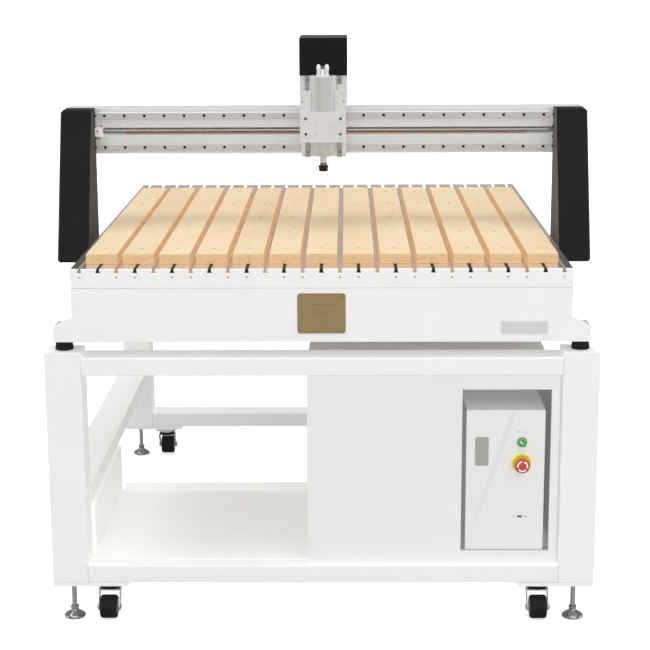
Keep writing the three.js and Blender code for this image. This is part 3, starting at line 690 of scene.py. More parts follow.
    def finish(self, name, material, body="base", slot=None, bevel=0.0, bevel_steps=2,
               crease=32, replaces=None, shift=MIDDLE, holes=None):
        self.settle(shift)
        if holes:
            holes.settle(MIDDLE)
            self.drill(holes)
        for face in self.mesh.faces:
            face.smooth = True
        limit = math.radians(crease)
        for edge in self.mesh.edges:
            sharp = len(edge.link_faces) == 2 and edge.calc_face_angle(0.0) > limit
            edge.smooth = not sharp
        data = bpy.data.meshes.new(name)
        self.mesh.to_mesh(data)
        self.mesh.free()
        data.materials.append(MATERIALS[material])
        made = bpy.data.objects.new(name, data)
        bpy.context.scene.collection.objects.link(made)
        if bevel:
            broken = made.modifiers.new("edge", "BEVEL")
            broken.width = bevel * MM
            broken.segments = bevel_steps
            broken.limit_method = "ANGLE"
            broken.angle_limit = math.radians(40)
            broken.harden_normals = True
        weighted = made.modifiers.new("shading", "WEIGHTED_NORMAL")
        weighted.keep_sharp = True
        weighted.weight = 80
        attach(made, body)
        if replaces:
            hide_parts(replaces)


def dress(node, material, bevel, bevel_steps=2, split_concave=False, holes=None):
    """A finished copy of a CAD piece: merged, cleaned and with its edges broken."""
    shape = Shape()
    mesh = shape.mesh
    mesh.from_mesh(NODES[node].data)
    bmesh.ops.remove_doubles(mesh, verts=mesh.verts[:], dist=2e-6)
    bmesh.ops.dissolve_limit(
        mesh, angle_limit=math.radians(0.8), verts=mesh.verts[:], edges=mesh.edges[:],
        use_dissolve_boundaries=False,
    )
    bmesh.ops.scale(mesh, vec=(1000, 1000, 1000), verts=mesh.verts[:])
    if split_concave:
        bmesh.ops.connect_verts_concave(mesh, faces=mesh.faces[:])
    shape.finish(
        node + "_finished", material, BODY_OF[node], SLOT_OF.get(node), bevel, bevel_steps,
        replaces=node, shift=0.0, holes=holes,
    )


# ------------------------------------------------------------------ stand
LEG_X, LEG_Y = 705, 783  # leg centres
LEG_HALF = 50
LEG_INNER_X, LEG_INNER_Y = LEG_X - LEG_HALF, LEG_Y - LEG_HALF
TUBE_HALF = 49.5
TUBE_HEIGHT = 50
TUBE_RADIUS = 3.5
TUBE_OVERLAP = 0.6
CROSS_TUBE_Z = (120, 715)  # undersides of the tubes across each end
SIDE_TUBE_Z = (318, 368)
CASTER_X, CASTER_Y = 605, 768
# the two signs of each corner of the stand: x, then y
CORNERS = [(side, end) for _, side in SIDES for _, end in ENDS]


def build_stand():
    legs = Shape()
    for side, end in CORNERS:
        across, along = around(side * LEG_X, LEG_HALF), around(end * LEG_Y, LEG_HALF)
        legs.prism(rounded(across, along, TUBE_RADIUS), "Z", 120, 780)
    paint = "stand_powder_coat"
    legs.finish("stand_legs", paint, slot=paint, bevel=0.8, replaces="stand_frame")

    rails = Shape()
    reach = LEG_INNER_X + TUBE_OVERLAP
    for _, end in ENDS:
        for z in CROSS_TUBE_Z:
            section = (around(end * LEG_Y, TUBE_HALF), (z, z + TUBE_HEIGHT))
            rails.prism(rounded(*section, TUBE_RADIUS), "X", -reach, reach)
    reach = LEG_INNER_Y + TUBE_OVERLAP
    for _, side in SIDES:
        section = (around(side * LEG_X, TUBE_HALF), SIDE_TUBE_Z)
        rails.prism(rounded(*section, TUBE_RADIUS), "Y", -reach, reach)
    rails.finish("stand_rails", paint, slot=paint)

    plates = Shape()
    plate_outline = [(540, 119.6), (546, 108), (754.5, 108), (754.5, 119.6)]  # x, z
    for side, end in CORNERS:
        plates.prism(mirrored(side, plate_outline), "Y", *around(end * LEG_Y, TUBE_HALF))
    plates.finish("stand_base_plates", paint, slot=paint, bevel=0.7)

    caster_plates = Shape()
    for side, end in CORNERS:
        across, along = around(side * CASTER_X, 38), around(end * CASTER_Y, 38)
        caster_plates.prism(rounded(across, along, 6), "Z", 105, 108.6)
    caster_plates.finish("caster_top_plates", "zinc_plate", bevel=0.3)

    bolts = Shape()
    bolt_offset = 29.5
    for side, end in CORNERS:
        for x in around(side * CASTER_X, bolt_offset):
            for y in around(end * CASTER_Y, bolt_offset):
                bolts.hexagon("Z", (x, y), 5.6, 105, 100.6, phase=0.3)
        bolts.hexagon("Z", (side * LEG_X, end * LEG_Y), 12.4, 107.9, 98.5, phase=0.2)
    bolts.finish("caster_plate_bolts", "zinc_bolt")
    build_welds()


def build_welds():
    beads = Shape()
    half = 45
    for side, end in CORNERS:
        x, y = side * LEG_INNER_X, end * LEG_INNER_Y
        front, rear = around(end * LEG_Y, half)
        for z in (170, 715, 765):
            beads.weld((x, front, z), (x, rear, z))
        for low, high in ((123, 167), (718, 762)):
            beads.weld((x, y, low), (x, y, high))
        left, right = around(side * LEG_X, half)
        for z in (368, 318):
            beads.weld((left, y, z), (right, y, z))
        beads.weld((x, y, 322), (x, y, 364))
        beads.weld((side * 656, y, 120), (side * 750, y, 120), radius=1.8)
    beads.finish("stand_weld_beads", "stand_powder_coat", slot="stand_powder_coat", crease=70)


def build_sheet_metal():
    dress("shelf_tray", "panel_powder_coat", 0.4)
    dress("cabinet_front_panel", "panel_powder_coat", 0.35)
    dress("cabinet_shell", "bare_sheet", 0.35)
    louvres = Shape()
    near, far = back(637.5), back(643.5)
    for k in range(9):
        z = 330 + 18 * k
        outline = [(near, z), (far, z + 2), (far, z + 5), (near, z + 9)]
        louvres.prism(outline, "X", 180, 420)
    louvres.finish("cabinet_back_louvres", "bare_sheet", slot="bare_sheet", bevel=0.3)


# ------------------------------------------------------------------ control box
STOP = (549.5, 458.6)  # x, z of the emergency stop
SELECTOR = (550.0, 519.0)
FAN = (505, 390)


def mark_ring(radius):
    """The slightly tall ring of the off mark."""
    angles = [2 * math.pi * i / 28 for i in range(28)]
    return [(539.6 + radius * math.cos(a), 549 + 1.15 * radius * math.sin(a)) for a in angles]


def socket_outline(inset):
    left, right, low, high = 540.5 + inset, 554.5 - inset, 300.5 + inset, 306.5 - inset
    return [(left, low), (right, low), (right, high), (left, high)]


def build_control_box():
    dress("control_box", "control_box_paint", 0.9)
    window = rounded((421, 458.5), (451, 533.5), 5)
    Shape().prism(window, "Y", back(30.2), back(29.4)).finish(
        "box_window", "window_grey", bevel=0.15)

    # off and on marks beside the selector
    marks = Shape().border(mark_ring, ((3.3, 30.2), (3.3, 29.75), (2.35, 29.75), (2.35, 30.2)))
    marks.box((559.6, 560.7), (back(30.2), back(29.75)), (545.3, 552.7))
    marks.finish("box_legends", "legend_print")

    shell = Shape().border(socket_outline, ((0.2, 29.7), (0.2, 44), (1.1, 44), (1.1, 29.7)))
    shell.box((541, 554), (back(43), back(44)), (301, 306))
    shell.finish("usb_shell", "dark_bezel")
    tongue = Shape().box((542.4, 552.6), (back(30.2), back(43.5)), (303.4, 305.6))
    tongue.finish("usb_tongue", "usb_tongue", bevel=0.1)
    screws = Shape()
    for x in (531.5, 563.5):
        screws.screw("Y", (x, 303.5), 2.3, back(30.1), back(29.2))
    screws.finish("usb_screws", "zinc_bolt")

    # four screws in the left side, and the fan guard at the rear
    guard = Shape()
    for z in (232, 588):
        for distance in (60, 300):
            guard.screw("X", (back(distance), z), 3.2, 397.3, 397.02)
    for radius in (18, 32, 46, 60):
        inner, outer = around(radius, 1.2)
        ring = set_back((inner, 329.9), (outer, 329.9), (outer, 329.0), (inner, 329.0))
        guard.lathe(ring, "Y", FAN, 40, loop=True)
    spoke = [(8, 1.6), (8, -1.6), (88, -1.6), (88, 1.6)]
    for k in range(4):
        outline = turned(spoke, FAN, math.pi / 4 + k * math.pi / 2)
        guard.prism(outline, "Y", back(329.0), back(329.8))
    guard.finish("box_fan_guard", "dark_steel")


def build_emergency_stop():
    profile = set_back(
        (11.8, 29.8), (26.2, 29.8), (27, 29.0), (27, 24.6), (25.6, 22.6), (24.4, 22.2),
        (22.0, 22.6), (20.2, 23.6), (11.8, 23.8),
    )
    Shape().lathe(profile, "Y", STOP, 56, loop=True).finish(
        "estop_collar_ring", "yellow_plastic", slot="yellow_plastic", replaces="estop_collar")

    red, head = "red_plastic", "estop_head"
    profile = set_back(
        (10, 24.9), (10, 13.5), (13.2, 13.2), (20.0, 9.4), (21.0, 7.0), (21.0, 1.2),
        (20.0, -0.6), (18.9, -1.6),
    )
    Shape().lathe(profile, "Y", STOP, 48).finish(
        "estop_head_rim", red, head, red, replaces="estop_button")
    profile = set_back((18.9, -0.6), (18.9, -2.3), (18.2, -2.7), (17.2, -2.9), (17.0, -2.2))
    Shape().lathe(profile, "Y", STOP, 48).finish("estop_head_groove", "dark_rim", head)
    profile = set_back((17.2, -1.6), (17.2, -2.8), (16.2, -3.4), (10, -3.6), (4, -3.7))
    Shape().lathe(profile, "Y", STOP, 48).finish("estop_head_face", red, head, red)

    arrows = Shape()
    for k in range(3):
        start = 100 + 120 * k
        end = start + 78
        point = [
            polar(STOP, radius, math.radians(angle))
            for radius, angle in ((16.4, end), (13.2, end + 20), (10.2, end))
        ]
        inner = arc(STOP, 11.4, start, end, 12)
        outline = arc(STOP, 15.4, start, end, 12) + point + inner[::-1]
        arrows.prism(outline, "Y", back(-3.2), back(-3.95))
    arrows.finish("estop_head_arrows", "white_print", head)


def build_selector():
    profile = set_back(
        (9.9, 30.2), (14.5, 30.0), (14.5, 28.6), (13.9, 27.0), (12.9, 26.7), (11.2, 26.9),
        (9.9, 27.6),
    )
    Shape().lathe(profile, "Y", SELECTOR, 40, loop=True).finish("selector_bezel", "dark_bezel")
    green, body = "green_plastic", "selector"
    profile = set_back((9.2, 26.9), (10.6, 26.4), (10.6, 16.4), (9.8, 15.2), (5, 15.0))
    Shape().lathe(profile, "Y", SELECTOR, 40).finish(
        "selector_disc", green, body, green, replaces="selector_knob")

    # the handle and its pointer lie along a diagonal
    angle = math.radians(135)
    handle = [(-10.6, -2.6), (10.6, -3.6), (11.6, 0), (10.6, 3.6), (-10.6, 2.6), (-11.4, 0)]
    Shape().prism(turned(handle, SELECTOR, angle), "Y", back(15.4), back(8.1)).finish(
        "selector_handle", green, body, green, bevel=0.7)
    pointer = [(0.5, -1.3), (10.2, -1.5), (10.8, 0), (10.2, 1.5), (0.5, 1.3)]
    Shape().prism(turned(pointer, SELECTOR, angle), "Y", back(8.3), back(8.02)).finish(
        "selector_pointer", "white_print", body)


# ------------------------------------------------------------------ casters, feet and mounts
WHEEL_Z = 34.2
WHEEL_OFFSET = 28  # the axle lies this far outward of the swivel axis
# one half of the tyre: radius, distance from its middle
TYRE_HALF = [
    (18, 22.6), (25.2, 22.8), (27.2, 23.5), (29.5, 23.2), (31.9, 20.8), (33.0, 17), (33.2, 9),
]


def build_swivel(tag, x, y, end):
    body, zinc = f"swivel_{tag}", "zinc_plate"
    axle_y = y + end * WHEEL_OFFSET
    # crown and two cheeks of the pressed fork
    fork = Shape()
    along = sorted((y - end * 19, y + end * 25))
    fork.prism(rounded(around(x, 30.5), along, 5), "Z", 79.6, 82.8)
    cheek = [(y - end * 18.6, 82), (y + end * 24.6, 82)]
    for offset, z in ((11, 44), (11, 30), (8, 25), (0, 22.6), (-7, 24.5), (-12, 32)):
        cheek.append((axle_y + end * offset, z))
    for cheek_x in around(x, 29):
        fork.prism(cheek, "X", *around(cheek_x, 1.45))
    fork.finish(f"fork_cheeks_{tag}", zinc, body, zinc, 0.6, replaces=f"caster_fork_{tag}")

    races = Shape()
    profile = [
        (14, 92.6), (25.2, 92.6), (27.6, 94.0), (28, 96.0), (28, 103.4), (27.2, 104.6),
        (14, 104.6),
    ]
    races.lathe(profile, "Z", (x, y), 40)
    races.lathe([(6.5, 79.8), (6.5, 78.6), (4.5, 77.8)], "Z", (x, y - end * 12), 18)
    races.finish(f"swivel_races_{tag}", zinc, body, zinc)
    profile = [
        (14, 82.9), (25.4, 82.9), (26.8, 84.0), (27.2, 86.4), (27.2, 90.4), (26.2, 92.4),
        (14, 92.5),
    ]
    Shape().lathe(profile, "Z", (x, y), 40).finish(f"swivel_seal_{tag}", "black_rubber", body)

    centre = (axle_y, WHEEL_Z)
    axle = Shape().lathe([(4.8, x - 33), (4.8, x + 33)], "X", centre, 18)
    for sign in (-1, 1):
        seat, face = x + sign * 30.5, x + sign * 31.4
        axle.lathe([(5, seat), (9.6, seat), (9.6, face), (5, face)], "X", centre, 24)
        axle.hexagon("X", centre, 8, face, x + sign * 34, phase=0.5)
    axle.finish(f"axle_{tag}", "zinc_bolt", body, zinc)


def build_wheel(tag, x, centre):
    body, tyre = f"wheel_{tag}", "caster_tyre"
    profile = [(radius, x - away) for radius, away in TYRE_HALF]
    profile += [(radius, x + away) for radius, away in reversed(TYRE_HALF)]
    Shape().lathe(profile, "X", centre, 56).finish(
        f"wheel_tread_{tag}", tyre, body, tyre, crease=50, replaces=f"caster_wheel_{tag}")
    hub = Shape()
    hub_half = (  # radius, distance from the middle of the wheel
        (5.6, 22.4), (22.4, 22.4), (23.1, 23.3), (21.6, 23.4), (20.7, 22.9), (12.5, 22.9),
        (11.6, 23.5), (5.6, 23.5),
    )
    for sign in (-1, 1):
        profile = [(radius, x + sign * away) for radius, away in hub_half]
        hub.lathe(profile, "X", centre, 40)
        for k in range(6):
            stud = polar(centre, 16.5, k * math.pi / 3)
            hub.lathe([(2.6, x + sign * 22.8), (2.2, x + sign * 23.4)], "X", stud, 12)
    hub.finish(f"wheel_hub_{tag}", "dark_steel", body, tyre)


def build_foot(tag, centre):
    body, chrome = f"foot_{tag}", "chrome_foot"
    profile = [
        (12, 0.8), (27.8, 0.6), (29.6, 1.6), (30, 4.0), (29.2, 6.4), (27.0, 8.8), (22.0, 12.2),
        (15.0, 16.6), (11.6, 19.0), (10.4, 20.6), (10.2, 23.2), (9.0, 24.4), (5, 24.6),
    ]
    Shape().lathe(profile, "Z", centre, 56).finish(
        f"foot_dome_{tag}", chrome, body, chrome, crease=50, replaces=f"leveling_foot_{tag}")
    Shape().lathe([(18, 0.0), (27.0, 0.0), (27.6, 0.7), (18, 0.9)], "Z", centre, 40).finish(
        f"foot_pad_{tag}", "black_rubber", body)
    stud = Shape().thread("Z", centre, 7.0, 34.0, 174.8, pitch=2.0, depth=0.95, steps=20)
    stud.lathe([(6.2, 24), (6.2, 34.2)], "Z", centre, 20)
    stud.finish(f"foot_stud_{tag}", "zinc_bolt", body, chrome)
    Shape().hexagon("Z", centre, 12.4, 25.2, 33.6, phase=0.35).finish(
        f"foot_nut_{tag}", chrome, body, chrome, 0.25)


def build_mount(tag, centre):
    """The rubber mount between a leg and the bed, with a washer above and below."""
    profile = [
        (12, 782.6), (24.2, 782.6), (25, 783.6), (24.4, 788), (23.7, 795), (24.4, 802),
        (25, 806.4), (24.2, 807.4), (12, 807.4),
    ]
    Shape().lathe(profile, "Z", centre, 56).finish(
        f"mount_rubber_{tag}", "black_rubber", slot="black_rubber", crease=50,
        replaces=f"rubber_mount_{tag}")
    flat_rings = Shape()
    for low, high in ((780.3, 782.7), (807.3, 809.7)):
        profile = [
            (10, low), (24.4, low), (24.8, low + 0.4), (24.8, high - 0.4), (24.4, high),
            (10, high),
        ]
        flat_rings.lathe(profile, "Z", centre, 48)
    flat_rings.finish(f"mount_washers_{tag}", "collet_nut_oxide")


def build_corners():
    for end_name, end in ENDS:
        for side_name, side in SIDES:
            tag = f"{end_name}_{side_name}"
            x, y = side * CASTER_X, end * CASTER_Y
            build_swivel(tag, x, y, end)
            build_wheel(tag, x, (y + end * WHEEL_OFFSET, WHEEL_Z))
            leg = (side * LEG_X, end * LEG_Y)
            build_foot(tag, leg)
            build_mount(tag, leg)


# ------------------------------------------------------------------ bed, table and front
STRIP_COUNT = 13
STRIP_X = [(i - 6) * 100 for i in range(STRIP_COUNT)]


def build_bed():
    dress("bed_frame", "bed_aluminium", 0.6)
    dress("t_slot_table", "table_aluminium", 0.25, bevel_steps=1)
    dress("front_end_bar", "white_powder_coat", 0.25, bevel_steps=1)
    dress("front_apron", "white_powder_coat", 0.6)
    screws = Shape()
    for k in range(27):
        if k % 3 != 1:
            screws.screw("Y", ((k - 13) * 50, 988.2), 2.6, back(0.3), back(-0.25))
    screws.finish("front_bar_screws", "black_oxide_bolt")
    # painted shade: a dark strip behind the gap under the front bar stands in for the shade in
    # the joint
    Shape().box((-674, 674), (back(1.2), back(9)), (957.7, 958.5)).finish(
        "front_joint_shade_strip", "dark_steel")

    # black nut bars that hold the strips from inside the slots
    bars = Shape()
    section = (  # offset from the slot's middle, z
        (-4.2, 1008.6), (4.2, 1008.6), (4.2, 1005.6), (7.0, 998.9), (-7.0, 998.9),
        (-4.2, 1005.6),
    )
    for x in STRIP_X:
        bars.prism([(x + offset, z) for offset, z in section], "Y", back(10.6), back(1380))
    bars.finish("slot_nut_bars", "collet_nut_oxide", bevel=0.2, bevel_steps=1)


def emblem_outline(inset):
    across, height = (-65 + inset, 65 - inset), (833.5 + inset, 944 - inset)
    return rounded(across, height, 8 - inset * 0.7, 6)


def name_plate_outline(inset):
    return rounded((482 + inset, 610.5 - inset), (829.5 + inset, 867.5 - inset), 4.4, 6)


def build_badges():
    brass = "brass_badge"
    Shape().prism(emblem_outline(0), "Y", back(-0.3), back(-1.9)).finish(
        "emblem_base", brass, slot=brass, bevel=0.5, replaces="emblem_plate")
    stations = ((0.6, -1.8), (0.6, -2.3), (3.0, -2.3), (3.6, -1.8))
    Shape().border(emblem_outline, stations).finish("emblem_border", brass, slot=brass)
    relief = Shape()
    for x in (-56, 56):
        for z in (842.5, 935):
            relief.lathe(set_back((1.6, -1.8), (1.6, -2.1), (1.0, -2.28)), "Y", (x, z), 16)
    # three plain bars
    for z, left, right in ((913, -26, 34), (889, -22, 20), (864, -14, 10)):
        relief.box((left, right), (back(-1.8), back(-2.02)), around(z, 0.45))
    relief.finish("emblem_relief", "brass_relief")

    plate = rounded((482, 610.5), (829.5, 867.5), 6, 6)
    Shape().prism(plate, "Y", back(-0.3), back(-1.2)).finish(
        "name_plate_base", "grey_badge", slot="grey_badge", bevel=0.25, replaces="name_plate")
    stations = ((2.2, -1.1), (2.2, -1.45), (3.1, -1.45), (3.1, -1.1))
    Shape().border(name_plate_outline, stations).finish("name_plate_border", "badge_border")


def build_strips():
    for i in range(1, STRIP_COUNT + 1):
        dress(f"mdf_strip_{i:02d}", "fibreboard", 0.8)
    screws, flat_rings = Shape(), Shape()
    # painted shade: brown rings around the screws stand in for the shadow in their counterbores
    shade_ring_profile = [(5.6, 1029.3), (6.9, 1029.3), (6.9, 1029.9), (5.6, 1029.9)]
    first, pitch = 91, 281  # screw rows, measured from the strips' front ends
    for x in STRIP_X:
        for row in range(5):
            centre = (x, back(77) + first + pitch * row)
            screws.screw("Z", centre, 5.2, 1029.2, 1032.6)
            flat_rings.lathe(shade_ring_profile, "Z", centre, 20, loop=True)
    screws.finish("strip_screws", "copper_brown")
    flat_rings.finish("strip_counterbore_shade", "counterbore_shadow")


# ------------------------------------------------------------------ long axis and columns
RAIL_SCREW_PITCH = 60
RAIL_SCREW_RADIUS = 4.3
RAIL_HOLE_RADIUS = 4.8


def build_y_rail(name, side):
    screws, holes = Shape(), Shape()
    for k in range(27):
        centre = (back(45) + RAIL_SCREW_PITCH * k, 940)
        screws.screw("X", centre, RAIL_SCREW_RADIUS, side * 673.4, side * 676.6)
        hole = [(RAIL_HOLE_RADIUS, side * 673.6), (RAIL_HOLE_RADIUS, side * 679)]
        holes.lathe(hole, "X", centre, 18)
    dress(f"y_rail_{name}", "rail_steel", 0.2, bevel_steps=1, holes=holes)
    screws.finish(f"y_rail_screws_{name}", "black_oxide_bolt")


def build_y_screw(name, side):
    centre = (side * 645, 880)
    screw = Shape()
    screw.thread("Y", centre, 8.0, back(45), back(1605), pitch=5.0, depth=0.7, steps=20)
    for start, end in ((22, 45.2), (1604.8, 1650)):
        screw.lathe(set_back((6.0, start), (6.0, end)), "Y", centre, 20)
    screw.finish(f"y_screw_thread_{name}", "screw_steel", f"y_screw_{name}_body",
                 "screw_steel", replaces=f"y_screw_{name}")


def build_column(name, side):
    bolts, holes = Shape(), Shape()
    # a row on the inner face, up the height of the beam
    for z in (1360, 1324, 1294, 1265):
        bolts.screw("X", (back(640), z), 4.2, side * 690.2, side * 686.6)
    # rows along the column's foot
    for distance in (448, 490, 545, 590, 632):
        for z in (896, 872) if distance in (490, 590) else (896,):
            bolts.screw("X", (back(distance), z), 5.0, side * 710.1, side * 713.6)
    # counterbored bolts in the outer face
    for z in (1267, 1312, 1358):
        for distance in (592, 624):
            centre = (back(distance), z)
            bolts.screw("X", centre, 5.4, side * 775.6, side * 780.4)
            holes.lathe([(6.2, side * 775.8), (6.2, side * 784)], "X", centre, 24)
    dress(f"column_{name}", "black_powder_coat", 1.0, holes=holes)
    bolts.finish(f"column_bolts_{name}", "black_oxide_bolt", "gantry")


def build_y_seals(name, side):
    """End seals of the two carriages on a long rail."""
    seals = Shape()
    for carriage in (470.7, 601.2):
        for sign in (-1, 1):
            y = back(carriage) + sign * 38.6
            across = sorted((side * 667, side * 688))
            seals.box(across, sorted((y, y + sign * 1.6)), (920, 960))
    seals.finish(f"carriage_seals_{name}", "black_rubber", "gantry")


def build_long_axis():
    for name, side in SIDES:
        build_y_rail(name, side)
        build_y_screw(name, side)
        build_column(name, side)
        build_y_seals(name, side)


# ------------------------------------------------------------------ bridge
BEAM_Z = 1312.5  # height of the cross screw, midway between the cross rails
RAIL_OFFSET = 47.5  # cross rails from the cross screw, head rails from the middle


def build_bridge():
    body = "gantry"
    dress("gantry_beam", "clear_anodised", 0.5)
    screws = Shape()
    for name, z in (("upper", BEAM_Z + RAIL_OFFSET), ("lower", BEAM_Z - RAIL_OFFSET)):
        holes = Shape()
        for k in range(23):
            centre = (-660 + RAIL_SCREW_PITCH * k, z)
            screws.screw("Y", centre, RAIL_SCREW_RADIUS, back(636.9), back(633.6))
            hole = set_back((RAIL_HOLE_RADIUS, 636.6), (RAIL_HOLE_RADIUS, 631.4))
            holes.lathe(hole, "Y", centre, 18)
        dress(f"x_rail_{name}", "rail_steel", 0.25, bevel_steps=1, holes=holes)
    screws.finish("x_rail_screws", "black_oxide_bolt", body)

    centre = (back(672), BEAM_Z)
    screw = Shape().thread("X", centre, 8.0, -700, 700, pitch=10.0, depth=0.1, steps=32)
    for sign in (-1, 1):
        screw.lathe([(6.0, sign * 699.8), (6.0, sign * 745)], "X", centre, 20)
    screw.finish("x_screw_thread", "screw_steel", "x_screw_body", "screw_steel",
                 replaces="x_screw")

    # two thin bands along the beam, in front of the screw; the lower, brown one is a painted
    # reflection of the fibreboard strips in the screw
    Shape().box((-689, 689), (back(660.0), back(660.6)), (1321.8, 1323.1)).finish(
        "groove_lips", "ground_steel", body)
    Shape().box((-600, 612), (back(660.0), back(660.7)), (1301.7, 1306.0)).finish(
        "groove_board_reflection", "brown_felt", body)

    Shape().box((-690, -667), (back(632), back(649.9)), (1297, 1325)).finish(
        "limit_switch_body", "white_powder_coat", body, bevel=1.2)
    lamp = set_back((3.0, 632.1), (3.0, 631.2), (2.2, 630.8))
    Shape().lathe(lamp, "Y", (-682, 1314), 18).finish("limit_switch_lamp", "red_plastic", body)
    bushes = Shape()
    for inner, outer, centre, steps in ((3.2, 5.6, (-680, 1293.5), 24),
                                        (1.5, 3.4, (-671, 1328.6), 20)):
        profile = set_back((inner, 634), (outer, 634), (outer, 645), (inner, 645))
        bushes.lathe(profile, "Y", centre, steps, loop=True)
    bushes.finish("limit_switch_bush", "copper_brown", body)
    Shape().box((-640, -620), (back(655), back(675)), (1380.4, 1382.3)).finish(
        "beam_top_cap", "grey_badge", body, bevel=0.3)


# ------------------------------------------------------------------ cross carriage
HEAD_HALF = 67.4  # half width of the carriage and head plates
Z_SCREW = (0, back(590))
Z_MOTOR = (0, back(648))


def rail_channel(z, front, rear, floor, half, slot_half):
    """A block section open to the rear around a cross rail; depths are distances back."""
    front, rear, floor = back(front), back(rear), back(floor)
    return [
        (front, z - half), (rear, z - half), (rear, z - slot_half), (floor, z - slot_half),
        (floor, z + slot_half), (rear, z + slot_half), (rear, z + half), (front, z + half),
    ]


def build_carriage_plate():
    plate = Shape()
    outline = [  # x, z
        (-HEAD_HALF, 1239), (HEAD_HALF, 1239), (HEAD_HALF, 1395), (70.9, 1395), (70.9, 1480.8),
        (68.5, 1480.8), (68.5, 1580), (-68.5, 1580), (-68.5, 1480.8), (-70.9, 1480.8),
        (-70.9, 1395), (-HEAD_HALF, 1395),
    ]
    plate.prism(outline, "Y", back(604.6), back(619.4))
    # blocks before and behind the plate: half width, near and far distance back, z span
    for half, near, far, height in (
        (20, 580.2, 604.8, (1241.2, 1255.8)),
        (24, 581.2, 604.8, (1486.2, 1501.8)),
        (20, 619, 668, (1306.8, 1320.5)),
        (24, 662.8, 689.8, (1296.2, 1328.8)),
    ):
        plate.box((-half, half), (back(near), back(far)), height)
    plate.finish("carriage_plate", "carriage_anodised", "x_carriage", "head_anodised", 0.6,
                 replaces="z_base_plate")


def build_x_blocks():
    blocks, seals = Shape(), Shape()
    for z in around(BEAM_Z, RAIL_OFFSET):
        block = rail_channel(z, front=619.2, rear=645.2, floor=632.0, half=21.5, slot_half=10.8)
        seal = rail_channel(z, front=621, rear=645, floor=631.8, half=20.8, slot_half=10.9)
        for x in (-66, 4):
            blocks.prism(block, "X", x + 2.5, x + 59.5)
            for start in (x, x + 59.6):
                seals.prism(seal, "X", start, start + 2.4)
    blocks.finish("x_carriage_blocks", "ground_steel", "x_carriage", "rail_steel", 0.5)
    seals.finish("x_carriage_seals", "black_rubber", "x_carriage")


def build_z_rails():
    # one half of the section: height off the plate, half width
    section = [(0, 7.5), (5.1, 7.5), (7.2, 5.6), (9.9, 5.6), (12, 7.5), (14, 7.5), (15, 6.5)]
    rails = Shape()
    for x in around(0, RAIL_OFFSET):
        outline = [(x - half, back(604.9 - height)) for height, half in section]
        outline += [(x + half, back(604.9 - height)) for height, half in reversed(section)]
        rails.prism(outline, "Z", 1239.2, 1479.8)
    rails.finish("z_rails", "z_rail_steel", "x_carriage", "rail_steel")
    screws = Shape()
    for x in around(0, RAIL_OFFSET):
        for z in (1255, 1315, 1375, 1435, 1468):
            screws.screw("Y", (x, z), 3.9, back(590.4), back(589.65))
    screws.finish("z_rail_screws", "black_oxide_bolt", "x_carriage")


def build_carriage_screws():
    for name, material, centres in (
        ("carriage_corner_screws", "zinc_bolt", ((-61, 1243), (-61, 1405), (61, 1405))),
        ("carriage_brass_screw", "copper_brown", ((61, 1243),)),
    ):
        screws = Shape()
        for centre in centres:
            screws.screw("Y", centre, 2.6, back(605), back(604.0))
        screws.finish(name, material, "x_carriage")


def build_z_drive():
    """The head's screw, and the cover with the motor and pulleys inside it."""
    body = "x_carriage"
    screw = Shape().thread("Z", Z_SCREW, 6.0, 1256, 1484, pitch=4.0, depth=0.6, steps=20)
    for start, end in ((1243, 1256.2), (1483.8, 1535)):
        screw.lathe([(4.8, start), (4.8, end)], "Z", Z_SCREW, 20)
    screw.finish("z_screw_thread", "screw_steel", "z_screw_body", "screw_steel",
                 replaces="z_screw")

    dress("z_motor_cover", "cover_black", 1.4, split_concave=True)
    details = Shape()
    for _, side in SIDES:
        for z in (1497, 1576):
            for distance in (600, 742):
                profile = [(3.2, side * 70.4), (3.2, side * 70.8), (2.0, side * 70.98)]
                details.lathe(profile, "X", (back(distance), z), 16)
    for x in (-50, 50):
        for z in (1500, 1578):
            profile = set_back((3.2, 764.4), (3.2, 764.8), (2.0, 764.98))
            details.lathe(profile, "Y", (x, z), 16)
    for k in range(6):
        z = 1514 + 9 * k
        details.box((-34, 34), (back(764.6), back(764.95)), (z, z + 3.2))
    details.finish("cover_screws_and_vents", "black_oxide_bolt", body)

    motor = Shape()
    motor.prism(rounded((-28.5, 28.5), (back(619.8), back(676)), 4), "Z", 1512, 1586)
    motor.lathe([(9, 1503), (9, 1512.4)], "Z", Z_MOTOR, 20)
    motor.finish("z_motor", "motor_black", body, bevel=1.0)
    pulleys = Shape()
    for bore, centre in ((6.3, Z_SCREW), (9.3, Z_MOTOR)):
        profile = [(bore, 1504), (15, 1504), (15, 1510), (bore, 1510)]
        pulleys.lathe(profile, "Z", centre, 28, loop=True)
    pulleys.finish("z_belt_pulleys", "dark_steel", body)


# ------------------------------------------------------------------ moving head
SPINDLE = (0.0, back(516))  # x, y of the spindle axis
SEAT_RADIUS = 40.5


